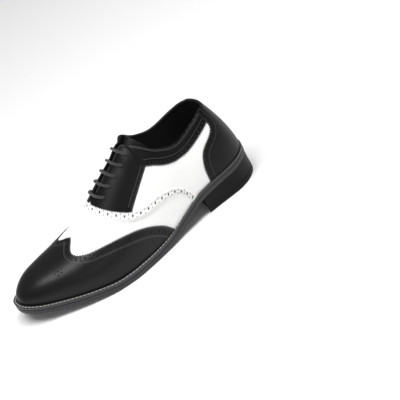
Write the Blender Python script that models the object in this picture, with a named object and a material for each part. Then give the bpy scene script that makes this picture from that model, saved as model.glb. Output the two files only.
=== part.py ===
"""Spectator shoe: a full-brogue wingtip oxford for the left foot, standing empty on its sole.

+X runs to the toe, +Y to the outer (lateral) side and +Z up. The origin is on the floor, at the middle of
the sole's bounding box. Every panel of the upper is cut from one function, the skin of the last: a rib
rises from each point of the foot line to the collar, to the lacing gap or to the ridge of the vamp.
"""

import bpy
import bmesh
import numpy as np

MM = 0.001

# Driving dimensions
LENGTH = 290 * MM
HEEL_ROUNDING = 38 * MM
TOE_ROUNDING = 30 * MM
TOE_SQUARENESS = 2.5
TOE_BOX_ROUNDING = 32 * MM
TOE_BOX_SQUARENESS = 2.3
COLLAR_BACK_ROUNDING = 19 * MM
COLLAR_BACK_HALF = 17.6 * MM
COLLAR_BACK_SHARE = 0.778
SOLE_THICKNESS = 9 * MM
WELT_THICKNESS = 3 * MM
WELT_OVERHANG_INSIDE = 4.5 * MM
SOLE_EDGE_INSET = 0.6 * MM
SOLE_EDGE_WIDEST = 0.55
INSOLE_THICKNESS = 2.5 * MM
INSOLE_CLEARANCE = 0.9 * MM
HEEL_FRONT = 73 * MM
HEEL_BREAST_HOLLOW = 4 * MM
HEEL_INSET = 0.5 * MM
HEEL_EDGE_ROUNDING = 1.5 * MM
GAP = 0.3 * MM
PANEL_THICKNESS = 0.9 * MM
PANEL_GAP = 0.7 * MM
WALL = 2.0 * MM
THROAT_X = 171 * MM
FACING_FRONT_X = 168.6 * MM
COLLAR_SEAM_X = 105 * MM
COLLAR_CORNER_X = 114 * MM
COLLAR_BACK_X = 26.4 * MM
SEAM = 0.4 * MM
EYELET_ROWS = 5
EYELET_FIRST_X = 115.6 * MM
EYELET_STEP = 10.8 * MM
EYELET_FROM_EDGE = 15.5 * MM
EYELET_MEDIAL_SHIFT = 4 * MM
EYELET_RADIUS = 1.9 * MM
LACE_RADIUS = 1.3 * MM
TONGUE_THICKNESS = 2.2 * MM
TONGUE_SIDE_CLEARANCE = 8 * MM
TONGUE_TOP_X = 106 * MM
TONGUE_CORNER_BACK = 8 * MM
TONGUE_FRONT_X = 176 * MM

# Levels below the skin, measured along its normal
PANEL_OUTSIDE = 0.0
PANEL_INSIDE = PANEL_OUTSIDE + PANEL_THICKNESS
WALL_OUTSIDE = PANEL_INSIDE + PANEL_GAP
WALL_INSIDE = WALL_OUTSIDE + WALL

# Tables: the first row names the columns, and each row after it is one section
SOLE_OUTLINE = (
    "x_mm centre_mm half_width_mm",
    (0, 0.0, 33.0),
    (40, 0.3, 33.3),
    (70, 1.8, 33.0),
    (100, 5.6, 33.1),
    (130, 8.0, 37.3),
    (160, 5.8, 45.2),
    (180, 3.0, 50.0),
    (200, -0.6, 51.6),
    (225, -4.6, 47.3),
    (245, -7.8, 40.8),
    (262, -10.0, 33.6),
    (290, -12.0, 22.0),
)
WELT_TOP = (
    "x_mm height_mm",
    (0, 32.8),
    (20, 32.0),
    (45, 30.4),
    (72, 27.4),
    (90, 22.3),
    (110, 15.3),
    (130, 10.6),
    (150, 9.0),
    (190, 9.0),
    (215, 11.4),
    (240, 14.6),
    (262, 18.0),
    (280, 21.5),
    (290, 23.8),
)
FOOT_LINE = (
    "x_mm inset_mm",
    (0, 1.0),
    (70, 1.0),
    (100, 1.3),
    (150, 3.4),
    (190, 4.3),
    (290, 4.5),
)
LAST_SECTIONS = (
    "foot_x_mm height_mm middle_mm roundness cut_lateral_mm cut_medial_mm lean_mm bulge_mm",
    (1, 98.2, 0.0, 2.1, 0.0, 0.0, 16.5, 0.3),
    (20, 99.0, 0.0, 2.2, 17.6, 17.6, 7.3, 2.0),
    (40, 95.5, 0.0, 2.3, 24.2, 24.8, 2.0, 2.5),
    (70, 89.9, 0.0, 2.8, 29.3, 28.2, 0.0, 2.0),
    (90, 97.5, 0.3, 2.5, 26.3, 24.2, 0.0, 1.5),
    (104, 109.6, 0.4, 2.4, 19.3, 19.3, 0.0, 1.0),
    (110, 112.3, 0.4, 2.3, 11.0, 11.0, 0.0, 1.0),
    (114, 112.2, 0.4, 2.2, 2.6, 2.6, 0.0, 0.5),
    (130, 102.4, 0.4, 2.1, 2.3, 2.3, 0.0, 0.5),
    (150, 91.1, 0.2, 1.95, 1.9, 1.9, 0.0, 0.5),
    (166, 80.1, 0.0, 1.9, 1.5, 1.5, 0.0, 0.5),
    (171, 76.6, 0.0, 1.9, 0.0, 0.0, 0.0, 0.5),
    (190, 64.0, -0.8, 2.1, 0.0, 0.0, 0.0, 0.5),
    (206, 56.0, -1.8, 2.3, 0.0, 0.0, 0.0, 0.5),
    (225, 50.5, -4.4, 2.4, 0.0, 0.0, 0.0, 0.5),
    (245, 47.0, -7.6, 2.4, 0.0, 0.0, 0.0, 0.3),
    (262, 44.5, -9.8, 2.35, 0.0, 0.0, 0.0, 0.2),
    (286, 40.0, -12.0, 2.3, 0.0, 0.0, 0.0, 0.0),
)
TONGUE_LINE = (
    "x_mm height_mm roundness half_girth_mm",
    (97, 116.0, 1.6, 20.0),
    (100, 114.6, 1.6, 20.5),
    (106, 111.0, 1.65, 21.5),
    (113, 105.8, 1.8, 23.0),
    (130, 93.8, 1.95, 24.0),
    (150, 82.2, 1.95, 23.0),
    (166, 71.2, 1.9, 21.0),
    (176, 64.5, 1.9, 18.0),
)
WING_EDGE = (
    "height_share x_mm",
    (0.0, 115.0),
    (0.11, 123.8),
    (0.26, 142.2),
    (0.38, 165.1),
    (0.47, 190.5),
    (0.56, 208.1),
    (0.64, 215.4),
    (0.71, 216.8),
    (0.84, 213.1),
    (0.93, 208.4),
    (1.0, 206.0),
)
VAMP_BAND = (
    "length_share upper_x_mm upper_share lower_x_mm lower_share",
    (0.0, 171.8, 1.0, 177.4, 1.0),
    (0.08, 170.6, 0.9, 176.6, 0.86),
    (0.16, 167.8, 0.81, 173.4, 0.76),
    (0.25, 163.0, 0.71, 168.3, 0.66),
    (0.34, 157.0, 0.62, 161.6, 0.56),
    (0.44, 147.4, 0.515, 152.0, 0.445),
    (0.54, 133.0, 0.435, 137.5, 0.365),
    (0.66, 116.0, 0.40, 118.0, 0.305),
    (0.78, 99.5, 0.40, 101.5, 0.30),
    (0.86, 90.5, 0.355, 94.4, 0.265),
    (0.93, 84.0, 0.24, 89.0, 0.185),
    (1.0, 77.0, 0.0, 84.4, 0.0),
)
COLLAR_EDGE = (
    "x_mm height_share",
    (25, 0.765),
    (42, 0.75),
    (60, 0.73),
    (85, 0.715),
    (105, 0.705),
)
FACING_BACK = (
    "length_share x_mm height_share",
    (0.0, 145.0, 0.515),
    (0.3, 133.3, 0.56),
    (0.65, 120.0, 0.615),
    (1.0, 105.4, 0.705),
)
COUNTER_EDGE = (
    "height_share x_mm",
    (0.0, 57.4),
    (0.23, 56.9),
    (0.35, 55.3),
    (0.46, 52.3),
    (0.53, 48.9),
    (0.58, 43.4),
    (0.64, 32.7),
    (0.68, 26.8),
    (0.74, 24.4),
    (0.84, 25.0),
    (1.0, 25.6),
)

# Counts of faces along and across each piece
REAR_RIBS = 13
CORNER_RIBS = 4
LACING_RIBS = 8
FRONT_RIBS = 12
UPPER_ROWS = 10
ROWS_TOWARDS_FOOT = 1.25
SOLE_STATIONS = 32
LACE_SIDES = 6
EYELET_SIDES = 8


def column(table, name):
    """One named column of a table, in metres where its name ends in _mm."""
    place = table[0].split().index(name)
    values = np.array([row[place] for row in table[1:]], float)
    return values * MM if name.endswith("_mm") else values


def curve(x, table, key, value):
    """Cubic through a table's rows that never overshoots them, with flat ends beyond the table."""
    keys, values = column(table, key), column(table, value)
    step = np.diff(keys)
    rise = np.diff(values) / step
    slope = np.concatenate([rise[:1], np.zeros(len(rise) - 1), rise[-1:]])
    same = rise[1:] * rise[:-1] > 0
    before, after = 2 * step[1:] + step[:-1], step[1:] + 2 * step[:-1]
    safe = np.where(same, before / np.where(same, rise[:-1], 1) + after / np.where(same, rise[1:], 1), 1)
    slope[1:-1] = np.where(same, (before + after) / safe, 0)
    x = np.clip(x, keys[0], keys[-1])
    i = np.clip(np.searchsorted(keys, x, side="right") - 1, 0, len(keys) - 2)
    t = (x - keys[i]) / step[i]
    start = (2 * t**3 - 3 * t**2 + 1) * values[i] + (t**3 - 2 * t**2 + t) * step[i] * slope[i]
    end = (3 * t**2 - 2 * t**3) * values[i + 1] + (t**3 - t**2) * step[i] * slope[i + 1]
    return start + end


def centre_line(x):
    """Sideways place of the sole's middle at x."""
    return curve(x, SOLE_OUTLINE, "x_mm", "centre_mm")


def half_width(x, inset, heel_inset, toe_inset):
    """Half the width of the sole's outline, drawn in by an inset, rounded at heel and toe."""
    last_x = LENGTH - toe_inset
    heel = np.clip((HEEL_ROUNDING - (x - heel_inset)) / HEEL_ROUNDING, 0, 1)
    toe = np.clip((x - (last_x - TOE_ROUNDING)) / TOE_ROUNDING, 0, 1)
    rounding = np.sqrt(1 - heel**2) * (1 - toe**TOE_SQUARENESS) ** (1 / TOE_SQUARENESS)
    return (curve(x, SOLE_OUTLINE, "x_mm", "half_width_mm") - inset) * rounding


def welt_top(x):
    """Height of the welt's upper face."""
    return curve(x, WELT_TOP, "x_mm", "height_mm")


def foot_inset(x):
    """How far the skin's foot line lies inside the sole's edge."""
    return curve(x, FOOT_LINE, "x_mm", "inset_mm")


FOOT_BACK = float(foot_inset(0.0))
FOOT_FRONT = float(LENGTH - foot_inset(LENGTH))


def rib_x(t):
    """Station of a rib: t runs from 0 at the heel to 1 at the toe, closer together at both."""
    return FOOT_BACK + (FOOT_FRONT - FOOT_BACK) * 0.5 * (1 - np.cos(np.pi * t))


def rib_t(x):
    """The t of the rib whose foot is at x."""
    return np.arccos(1 - 2 * (x - FOOT_BACK) / (FOOT_FRONT - FOOT_BACK)) / np.pi


def foot_point(x, side):
    """Point of the foot line at x, on the lateral (+1) or medial (-1) side."""
    half = half_width(x, foot_inset(x), FOOT_BACK, LENGTH - FOOT_FRONT)
    return np.stack([x, centre_line(x) + side * half, welt_top(x) + GAP], -1)


def rib(x, side, part):
    """Points of the ribs at x, at parts 0 to 1 of the way up.

    A rib is a quarter of a rounded arch, from the foot line towards the last's apex. It stops where the
    collar or the lacing gap is cut, leans forward at the heel and swells outward half way up.
    """
    value = lambda name: curve(x, LAST_SECTIONS, "foot_x_mm", name)
    foot = foot_point(x, side)
    toe = np.clip((x - FOOT_FRONT) / TOE_BOX_ROUNDING + 1, 0, 1)
    dome = (1 - toe**TOE_BOX_SQUARENESS) ** (1 / TOE_BOX_SQUARENESS)
    rise = (value("height_mm") - foot[..., 2]) * dome
    middle = centre_line(x) + (value("middle_mm") - centre_line(x)) * dome
    back = np.clip((x - FOOT_BACK) / COLLAR_BACK_ROUNDING, 0, 1)
    cut = np.where(side > 0, value("cut_lateral_mm"), value("cut_medial_mm"))
    cut = np.where(back < 1, COLLAR_BACK_HALF * np.sqrt(1 - (1 - back) ** 2), cut)
    reach = np.maximum(np.abs(foot[..., 1] - middle), 1e-6)
    roundness = value("roundness")
    shares = np.where(x <= FOOT_BACK + 1e-7, COLLAR_BACK_SHARE, np.clip(cut / reach, 0, 0.98))
    last_angle = np.arccos(shares ** (roundness / 2))
    angle = part * last_angle[..., None]
    power = 2 / roundness[..., None]
    climbed = (np.sin(angle) / np.sin(last_angle)[..., None]) ** power
    points = np.repeat(foot[..., None, :], angle.shape[-1], -2)
    points[..., 0] += value("lean_mm")[..., None] * climbed**1.6
    points[..., 1] = middle[..., None] + (foot[..., 1] - middle)[..., None] * np.cos(angle) ** power
    points[..., 2] += rise[..., None] * climbed
    swell = value("bulge_mm")[..., None] * np.sin(np.pi * np.clip(climbed, 0, 1) ** 0.8)
    ahead = foot_point(np.minimum(x + 0.2 * MM, FOOT_FRONT), side)
    behind = foot_point(np.maximum(x - 0.2 * MM, FOOT_BACK), side)
    along = (ahead - behind)[..., :2]
    out = np.stack([-along[..., 1] * side, along[..., 0] * side], -1)
    out = np.where((x <= FOOT_BACK + 1e-7)[..., None], np.array([-1.0, 0.0]), out)
    out = out / np.linalg.norm(out, axis=-1, keepdims=True)
    points[..., :2] += out[..., None, :] * swell[..., None]
    return points


def rib_lengths(x, side, steps=49):
    """Parts 0 to 1 along each rib and the length of rib up to each of them."""
    part = np.broadcast_to(np.linspace(0, 1, steps), np.shape(x) + (steps,))
    points = rib(x, side, part)
    piece = np.linalg.norm(np.diff(points, axis=-2), axis=-1)
    return part, np.concatenate([np.zeros(np.shape(x) + (1,)), np.cumsum(piece, -1)], -1)


def skin(t, share, side):
    """Point of the skin on rib t, at a share of the rib's length above the foot line."""
    t, share, side = np.broadcast_arrays(np.asarray(t, float), share, side)
    x = rib_x(t)
    parts, length = rib_lengths(x, side)
    want = np.clip(share, 0, 1) * length[..., -1]
    i = np.clip((length < want[..., None]).sum(-1) - 1, 0, length.shape[-1] - 2)[..., None]
    low, high = np.take_along_axis(length, i, -1), np.take_along_axis(length, i + 1, -1)
    beyond = (want[..., None] - low) / np.maximum(high - low, 1e-9)
    found = np.take_along_axis(parts, i, -1) + beyond * (parts[..., 1:2] - parts[..., :1])
    return rib(x, side, found)[..., 0, :]


def skin_normal(t, share, side):
    """Outward unit normal of the skin, level at the foot line and upright along the ridge."""
    t, share, side = np.broadcast_arrays(np.asarray(t, float), share, side)
    nudge = 1e-3
    low_t, high_t = np.clip(t - nudge, 0.001, 0.999), np.clip(t + nudge, 0.002, 1.0)
    along = skin(high_t, share, side) - skin(low_t, share, side)
    up = skin(t, np.minimum(share + nudge, 1), side) - skin(t, np.maximum(share - nudge, 0), side)
    normal = np.cross(up, along) * side[..., None]
    x = rib_x(t)
    normal[..., 2] = np.where(share <= 0, 0, normal[..., 2])
    on_ridge = (share >= 1) & (x > THROAT_X - 0.01 * MM)
    normal[..., 1] = np.where(on_ridge | (t <= 0), 0, normal[..., 1])
    normal /= np.maximum(np.linalg.norm(normal, axis=-1, keepdims=True), 1e-12)
    tip = (t > 1 - 1e-9)[..., None]
    return np.where(tip, np.array([1.0, 0.0, 0.0]), normal)


def below_skin(t, share, side, depth):
    """Point at a depth under the skin; the foot line stays on the welt."""
    t, share, side = np.broadcast_arrays(np.asarray(t, float), share, side)
    point = skin(t, share, side) - skin_normal(t, share, side) * depth
    on_foot = welt_top(point[..., 0]) + GAP
    point[..., 2] = np.where((share <= 0) | (t > 1 - 1e-9), on_foot, point[..., 2])
    return point


def girth_share(x, side, girth):
    """Share of the rib at x that lies a girth below its top."""
    total = rib_lengths(np.asarray(x, float), side)[1][..., -1]
    return 1 - girth / total


SIDEWAYS = np.linspace(0, LENGTH, 2001)
EDGE_HALF = half_width(SIDEWAYS, 0, 0, 0)
MIDDLE_Y = ((centre_line(SIDEWAYS) + EDGE_HALF).max() + (centre_line(SIDEWAYS) - EDGE_HALF).min()) / 2
ORIGIN = np.array([LENGTH / 2, MIDDLE_Y, 0.0])


def finish(name, points, faces, material):
    """Make one closed mesh object from points and faces, merged and facing out."""
    mesh = bpy.data.meshes.new(name)
    mesh.from_pydata((np.asarray(points) - ORIGIN).tolist(), [], faces)
    work = bmesh.new()
    work.from_mesh(mesh)
    bmesh.ops.remove_doubles(work, verts=work.verts, dist=0.01 * MM)
    bmesh.ops.delete(work, geom=[e for e in work.edges if not e.link_faces], context="EDGES")
    bmesh.ops.recalc_face_normals(work, faces=work.faces)
    work.to_mesh(mesh)
    work.free()
    mesh.shade_smooth()
    mesh.set_sharp_from_angle(angle=np.radians(40))
    mesh.materials.append(material)
    shape = bpy.data.objects.new(name, mesh)
    bpy.context.scene.collection.objects.link(shape)
    return shape


def quads(index):
    """Faces of a grid of point numbers."""
    a, b, c, d = index[:-1, :-1], index[1:, :-1], index[1:, 1:], index[:-1, 1:]
    return np.stack([a, b, c, d], -1).reshape(-1, 4).tolist()


def layered(name, layers, material):
    """Closed body from grids of one size: the first and last are its faces, the rest shape its rim."""
    rows, columns = layers[0].shape[:2]
    index = np.arange(rows * columns * len(layers)).reshape(len(layers), rows, columns)
    faces = quads(index[0]) + quads(index[-1][:, ::-1])
    rims = [np.concatenate([g[0, :-1], g[:-1, -1], g[-1, :0:-1], g[:0:-1, 0], g[0, :1]]) for g in index]
    faces += quads(np.stack(rims[::-1]))
    return finish(name, np.concatenate([g.reshape(-1, 3) for g in layers]), faces, material)


def panel(name, t, share, side, material):
    """Overlay panel: a grid of the skin with the panel's thickness."""
    outer = below_skin(t, share, side, PANEL_OUTSIDE)
    inner = below_skin(t, share, side, PANEL_INSIDE)
    return layered(name, [outer, inner], material)


def sole_layer(x, inset, height, lanes=2):
    """Grid over the sole's outline, drawn in by an inset, at the heights given for x."""
    first, last = np.min(x), np.max(x)
    x = first + inset + (x - first) * (last - first - 2 * inset) / (last - first)
    across = np.linspace(-1, 1, lanes + 1)
    y = centre_line(x)[:, None] + across * half_width(x, inset, inset, inset)[:, None]
    return np.stack(np.broadcast_arrays(x[:, None], y, height(x)[:, None]), -1)


def leather(name, colour, roughness):
    """Principled material with a colour, a roughness and no metal."""
    material = bpy.data.materials.new(name)
    material.use_nodes = True
    shader = material.node_tree.nodes["Principled BSDF"]
    shader.inputs["Base Color"].default_value = (*colour, 1)
    shader.inputs["Roughness"].default_value = roughness
    shader.inputs["Metallic"].default_value = 0
    return material


def build_sole(sole_material, welt_material, heel_material, insole_material):
    """Outsole, welt, heel and insole, stacked from the floor up."""
    x = LENGTH * 0.5 * (1 - np.cos(np.pi * np.linspace(0, 1, SOLE_STATIONS + 1)))
    sole_top = lambda x: welt_top(x) - WELT_THICKNESS - GAP
    sole_mid = lambda x: welt_top(x) - SOLE_EDGE_WIDEST * SOLE_THICKNESS
    sole_bottom = lambda x: welt_top(x) - SOLE_THICKNESS
    layers = [
        sole_layer(x, SOLE_EDGE_INSET, sole_top),
        sole_layer(x, 0.0, sole_mid),
        sole_layer(x, SOLE_EDGE_INSET, sole_bottom),
    ]
    layered("outsole", layers, sole_material)

    def ring(extra, height):
        """Closed outline drawn in by the foot line's inset and a bit more."""
        edge = foot_inset(x) + extra if extra else 0 * x
        first, last = edge[0], LENGTH - edge[-1]
        station = first + x * (last - first) / LENGTH
        half = half_width(station, edge, edge[0], edge[-1])
        lateral = np.stack([station, centre_line(station) + half, height(station)], -1)
        medial = np.stack([station, centre_line(station) - half, height(station)], -1)
        return np.concatenate([lateral, medial[-2:0:-1]])

    welt_bottom = lambda x: welt_top(x) - WELT_THICKNESS
    inside = WALL_INSIDE + WELT_OVERHANG_INSIDE
    rings = [ring(0, welt_bottom), ring(0, welt_top), ring(inside, welt_top), ring(inside, welt_bottom)]
    count = len(rings[0])
    index = np.arange(4 * count).reshape(4, count)
    index = np.vstack([index, index[:1]])
    index = np.hstack([index, index[:, :1]])
    finish("welt", np.concatenate(rings), quads(index), welt_material)

    def insole_layer(extra, height):
        """Grid over the foot line's outline, drawn in a bit more."""
        edge = foot_inset(x) + extra
        first, last = edge[0], LENGTH - edge[-1]
        station = first + x * (last - first) / LENGTH
        across = np.linspace(-1, 1, 3)
        half = half_width(station, edge, edge[0], edge[-1])
        y = centre_line(station)[:, None] + across * half[:, None]
        return np.stack(np.broadcast_arrays(station[:, None], y, height(station)[:, None]), -1)

    shelf = WALL_INSIDE + INSOLE_CLEARANCE
    core = inside + INSOLE_CLEARANCE
    layers = [
        insole_layer(shelf, lambda x: welt_top(x) + GAP + INSOLE_THICKNESS),
        insole_layer(shelf, lambda x: welt_top(x) + GAP),
        insole_layer(core, lambda x: welt_top(x) + GAP),
        insole_layer(core, lambda x: welt_top(x) - WELT_THICKNESS),
    ]
    layered("insole", layers, insole_material)

    def heel_layer(inset, height):
        """Grid over the heel's outline, with a hollowed front edge."""
        along = 1 - np.cos(0.5 * np.pi * np.linspace(0, 1, 11))[:, None]
        across = np.linspace(-1, 1, 7)[None]
        front = HEEL_FRONT - HEEL_BREAST_HOLLOW * (1 - across**2)
        station = inset + along * (front - inset)
        y = centre_line(station) + across * half_width(station, inset, inset, inset)
        return np.stack(np.broadcast_arrays(station, y, height(station)), -1)

    layers = [
        heel_layer(HEEL_INSET, lambda x: welt_top(x) - SOLE_THICKNESS - GAP),
        heel_layer(HEEL_INSET, lambda x: HEEL_EDGE_ROUNDING + 0 * x),
        heel_layer(2 * HEEL_INSET, lambda x: 0 * x),
    ]
    layered("heel", layers, heel_material)


def build_upper(material):
    """The hollow upper: one wall of vamp and quarters, open underneath, at the collar and at the throat."""
    seam_t, corner_t, throat_t = rib_t(np.array([COLLAR_SEAM_X, COLLAR_CORNER_X, THROAT_X]))
    stretches = [
        np.linspace(0, seam_t, REAR_RIBS + 1),
        np.linspace(seam_t, corner_t, CORNER_RIBS + 1)[1:],
        np.linspace(corner_t, throat_t, LACING_RIBS + 1)[1:],
        np.linspace(throat_t, 1, FRONT_RIBS + 1)[1:],
    ]
    t = np.concatenate(stretches)
    loop_t = np.concatenate([t, t[-2:0:-1]])[:, None]
    side = np.concatenate([np.ones(len(t)), -np.ones(len(t) - 2)])[:, None]
    share = np.linspace(0, 1, UPPER_ROWS + 1)[None] ** ROWS_TOWARDS_FOOT
    outer = below_skin(loop_t, share, side, WALL_OUTSIDE)
    inner = below_skin(loop_t, share, side, WALL_INSIDE)
    count, rows = len(loop_t), UPPER_ROWS + 1
    index = np.arange(2 * count * rows).reshape(2, count, rows)
    index = np.concatenate([index, index[:, :1]], 1)
    faces = quads(index[0]) + quads(index[1][:, ::-1])
    faces += quads(index[::-1, :, 0])
    gap_ribs = REAR_RIBS + CORNER_RIBS + LACING_RIBS + 1
    faces += quads(index[:, :gap_ribs, -1])
    faces += quads(index[:, count - gap_ribs + 1 :, -1])
    points = np.concatenate([outer.reshape(-1, 3), inner.reshape(-1, 3)])
    return finish("upper", points, faces, material)


def build_wing_cap(material):
    """Black toe cap whose wings sweep back along both sides, from a peak on the vamp's ridge."""
    rows = np.array([0, 0.05, 0.12, 0.2, 0.28, 0.35, 0.42, 0.47, 0.52, 0.57, 0.63, 0.71, 0.84, 1.0])
    share = np.concatenate([rows, rows[-2::-1]])[:, None]
    side = np.where(np.arange(len(share)) < len(rows) - 1, -1.0, 1.0)[:, None]
    along = np.linspace(0, 1, 17)[None]
    edge = rib_t(curve(share, WING_EDGE, "height_share", "x_mm"))
    return panel("wing_cap", edge + (1 - edge) * along, share, side, material)


def build_vamp_band(material):
    """White brogued band across the throat, down each side to the waist."""
    along = np.linspace(-1, 1, 53)[:, None]
    across = np.linspace(0, 1, 3)[None]
    side = np.where(along < 0, -1.0, 1.0)
    value = lambda name: curve(np.abs(along), VAMP_BAND, "length_share", name)
    x = value("upper_x_mm") + across * (value("lower_x_mm") - value("upper_x_mm"))
    share = value("upper_share") + across * (value("lower_share") - value("upper_share"))
    return panel("vamp_band", rib_t(x), share, side, material)


def build_facing(name, side, material):
    """Black lacing facing: a patch blended between its four edges."""
    corner = (FACING_FRONT_X - COLLAR_CORNER_X) / (FACING_FRONT_X - COLLAR_SEAM_X)
    p = np.concatenate([np.linspace(0, corner, 9), np.linspace(corner, 1, 5)[1:]])[:, None]
    q = np.linspace(0, 1, 7)[None]
    front_share = curve(q * 0.455, VAMP_BAND, "length_share", "upper_share")
    front_x = curve(q * 0.455, VAMP_BAND, "length_share", "upper_x_mm") - 2 * SEAM
    front_x = np.minimum(front_x, FACING_FRONT_X)
    top_x = FACING_FRONT_X + p * (COLLAR_SEAM_X + SEAM - FACING_FRONT_X)
    low_x = curve(p, FACING_BACK, "length_share", "x_mm")
    low_share = curve(p, FACING_BACK, "length_share", "height_share")
    low_x = low_x + (1 - p) * (front_x[0, -1] - low_x[0, 0])
    low_share = low_share + (1 - p) * (front_share[0, -1] - low_share[0, 0])
    low_x = low_x + p * (COLLAR_SEAM_X + SEAM - low_x[-1, 0])
    back_share = 1 + q * (low_share[-1, 0] - 1)
    x = (1 - q) * top_x + q * low_x + (1 - p) * front_x + p * (COLLAR_SEAM_X + SEAM)
    x = x - ((1 - p) * (1 - q) * top_x[0, 0] + p * (1 - q) * top_x[-1, 0])
    x = x - ((1 - p) * q * low_x[0, 0] + p * q * low_x[-1, 0])
    share = (1 - q) + q * low_share + (1 - p) * front_share + p * back_share
    share = share - ((1 - q) + q * ((1 - p) * low_share[0, 0] + p * low_share[-1, 0]))
    return panel(name, rib_t(x), share, side, material)


def build_collar_band(name, side, material):
    """Black band along the topline, from the facing to the counter."""
    x = np.linspace(COLLAR_SEAM_X - SEAM, COLLAR_BACK_X, 17)[:, None]
    low = curve(x, COLLAR_EDGE, "x_mm", "height_share")
    share = low + np.linspace(0, 1, 4)[None] * (1 - low)
    return panel(name, rib_t(x), share, side, material)


def build_counter(material):
    """Black heel counter, up to the topline at the back and down to the rand."""
    share = np.array([0, 0.12, 0.24, 0.36, 0.46, 0.53, 0.58, 0.61, 0.64, 0.68, 0.75, 0.87, 1.0])[:, None]
    along = np.linspace(-1, 1, 17)[None]
    edge = rib_t(curve(share, COUNTER_EDGE, "height_share", "x_mm"))
    side = np.where(along < 0, -1.0, 1.0)
    return panel("heel_counter", np.abs(along) * edge, share, side, material)


def tongue_section(x, side, girth, inset):
    """Points of the tongue at x, a girth away from its middle line, drawn in by an inset."""
    height = curve(x, TONGUE_LINE, "x_mm", "height_mm") - 1.2 * inset
    power = 2 / curve(x, TONGUE_LINE, "x_mm", "roundness")[..., None]
    foot = foot_point(x, side)
    foot[..., 1] -= side * (TONGUE_SIDE_CLEARANCE + inset)
    middle = curve(x, LAST_SECTIONS, "foot_x_mm", "middle_mm")
    angle = np.broadcast_to(np.linspace(np.pi / 2, 0, 161), x.shape + (161,))
    y = foot[..., 1:2] + (middle - foot[..., 1])[..., None] * (1 - np.cos(angle) ** power)
    z = foot[..., 2:3] + (height - foot[..., 2])[..., None] * np.sin(angle) ** power
    piece = np.hypot(np.diff(y, axis=-1), np.diff(z, axis=-1))
    length = np.concatenate([np.zeros(x.shape + (1,)), np.cumsum(piece, -1)], -1)
    i = np.clip((length < girth[..., None]).sum(-1) - 1, 0, 159)[..., None]
    low, high = np.take_along_axis(length, i, -1), np.take_along_axis(length, i + 1, -1)
    part = (girth[..., None] - low) / (high - low)
    pick = lambda a: (np.take_along_axis(a, i, -1) * (1 - part) + np.take_along_axis(a, i + 1, -1) * part)[..., 0]
    return np.stack([x, pick(y), pick(z)], -1)


def build_tongue(material):
    """Black tongue under the facings, with its bowed top edge standing above them."""
    along = np.array([0, 0.03, 0.07, 0.13, 0.22, 0.34, 0.48, 0.64, 0.82, 1])[:, None]
    across = np.linspace(-1, 1, 13)[None]
    top_x = TONGUE_TOP_X - TONGUE_CORNER_BACK * across**2
    x, across = np.broadcast_arrays(top_x + (TONGUE_FRONT_X - top_x) * along, across)
    side = np.where(across < 0, -1.0, 1.0)
    girth = np.abs(across) * curve(x, TONGUE_LINE, "x_mm", "half_girth_mm")
    outer = tongue_section(x, side, girth, 0.0)
    inner = tongue_section(x, side, girth, TONGUE_THICKNESS)
    return layered("tongue", [outer, inner], material)


def eyelets():
    """Station, side and share of each eyelet, from the throat's pair up to the collar's."""
    rows = []
    for row in range(EYELET_ROWS - 1, -1, -1):
        for side in (1.0, -1.0):
            x = EYELET_FIRST_X + row * EYELET_STEP + (side < 0) * EYELET_MEDIAL_SHIFT
            rows.append((x, side, float(girth_share(x, side, EYELET_FROM_EDGE))))
    return rows


def punch_eyelets(shapes):
    """Cut the ten lace holes through the facings and the upper's wall."""
    turns = np.linspace(0, 2 * np.pi, EYELET_SIDES + 1)[:-1]
    points, faces = [], []
    for x, side, share in eyelets():
        middle = skin(rib_t(x), share, side)
        axis = skin_normal(rib_t(x), share, side)
        ahead = np.cross(axis, [0.0, 0.0, 1.0])
        ahead /= np.linalg.norm(ahead)
        beside = np.cross(axis, ahead)
        rim = EYELET_RADIUS * (np.cos(turns)[:, None] * ahead + np.sin(turns)[:, None] * beside)
        first = len(points)
        points += [*(middle + axis * 2 * MM + rim), *(middle - axis * (WALL_INSIDE + 2 * MM) + rim)]
        loop = np.arange(EYELET_SIDES)
        after = np.roll(loop, -1)
        faces += (first + np.stack([loop, after, after + EYELET_SIDES, loop + EYELET_SIDES], -1)).tolist()
        faces += [(first + loop[::-1]).tolist(), (first + EYELET_SIDES + loop).tolist()]
    cutter = finish("eyelet_cutter", points, faces, bpy.data.materials[0])
    cutter.hide_render = True
    cutter.display_type = "WIRE"
    for shape in shapes:
        cut = shape.modifiers.new("eyelet holes", "BOOLEAN")
        cut.operation = "DIFFERENCE"
        cut.solver = "EXACT"
        cut.object = cutter


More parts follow.
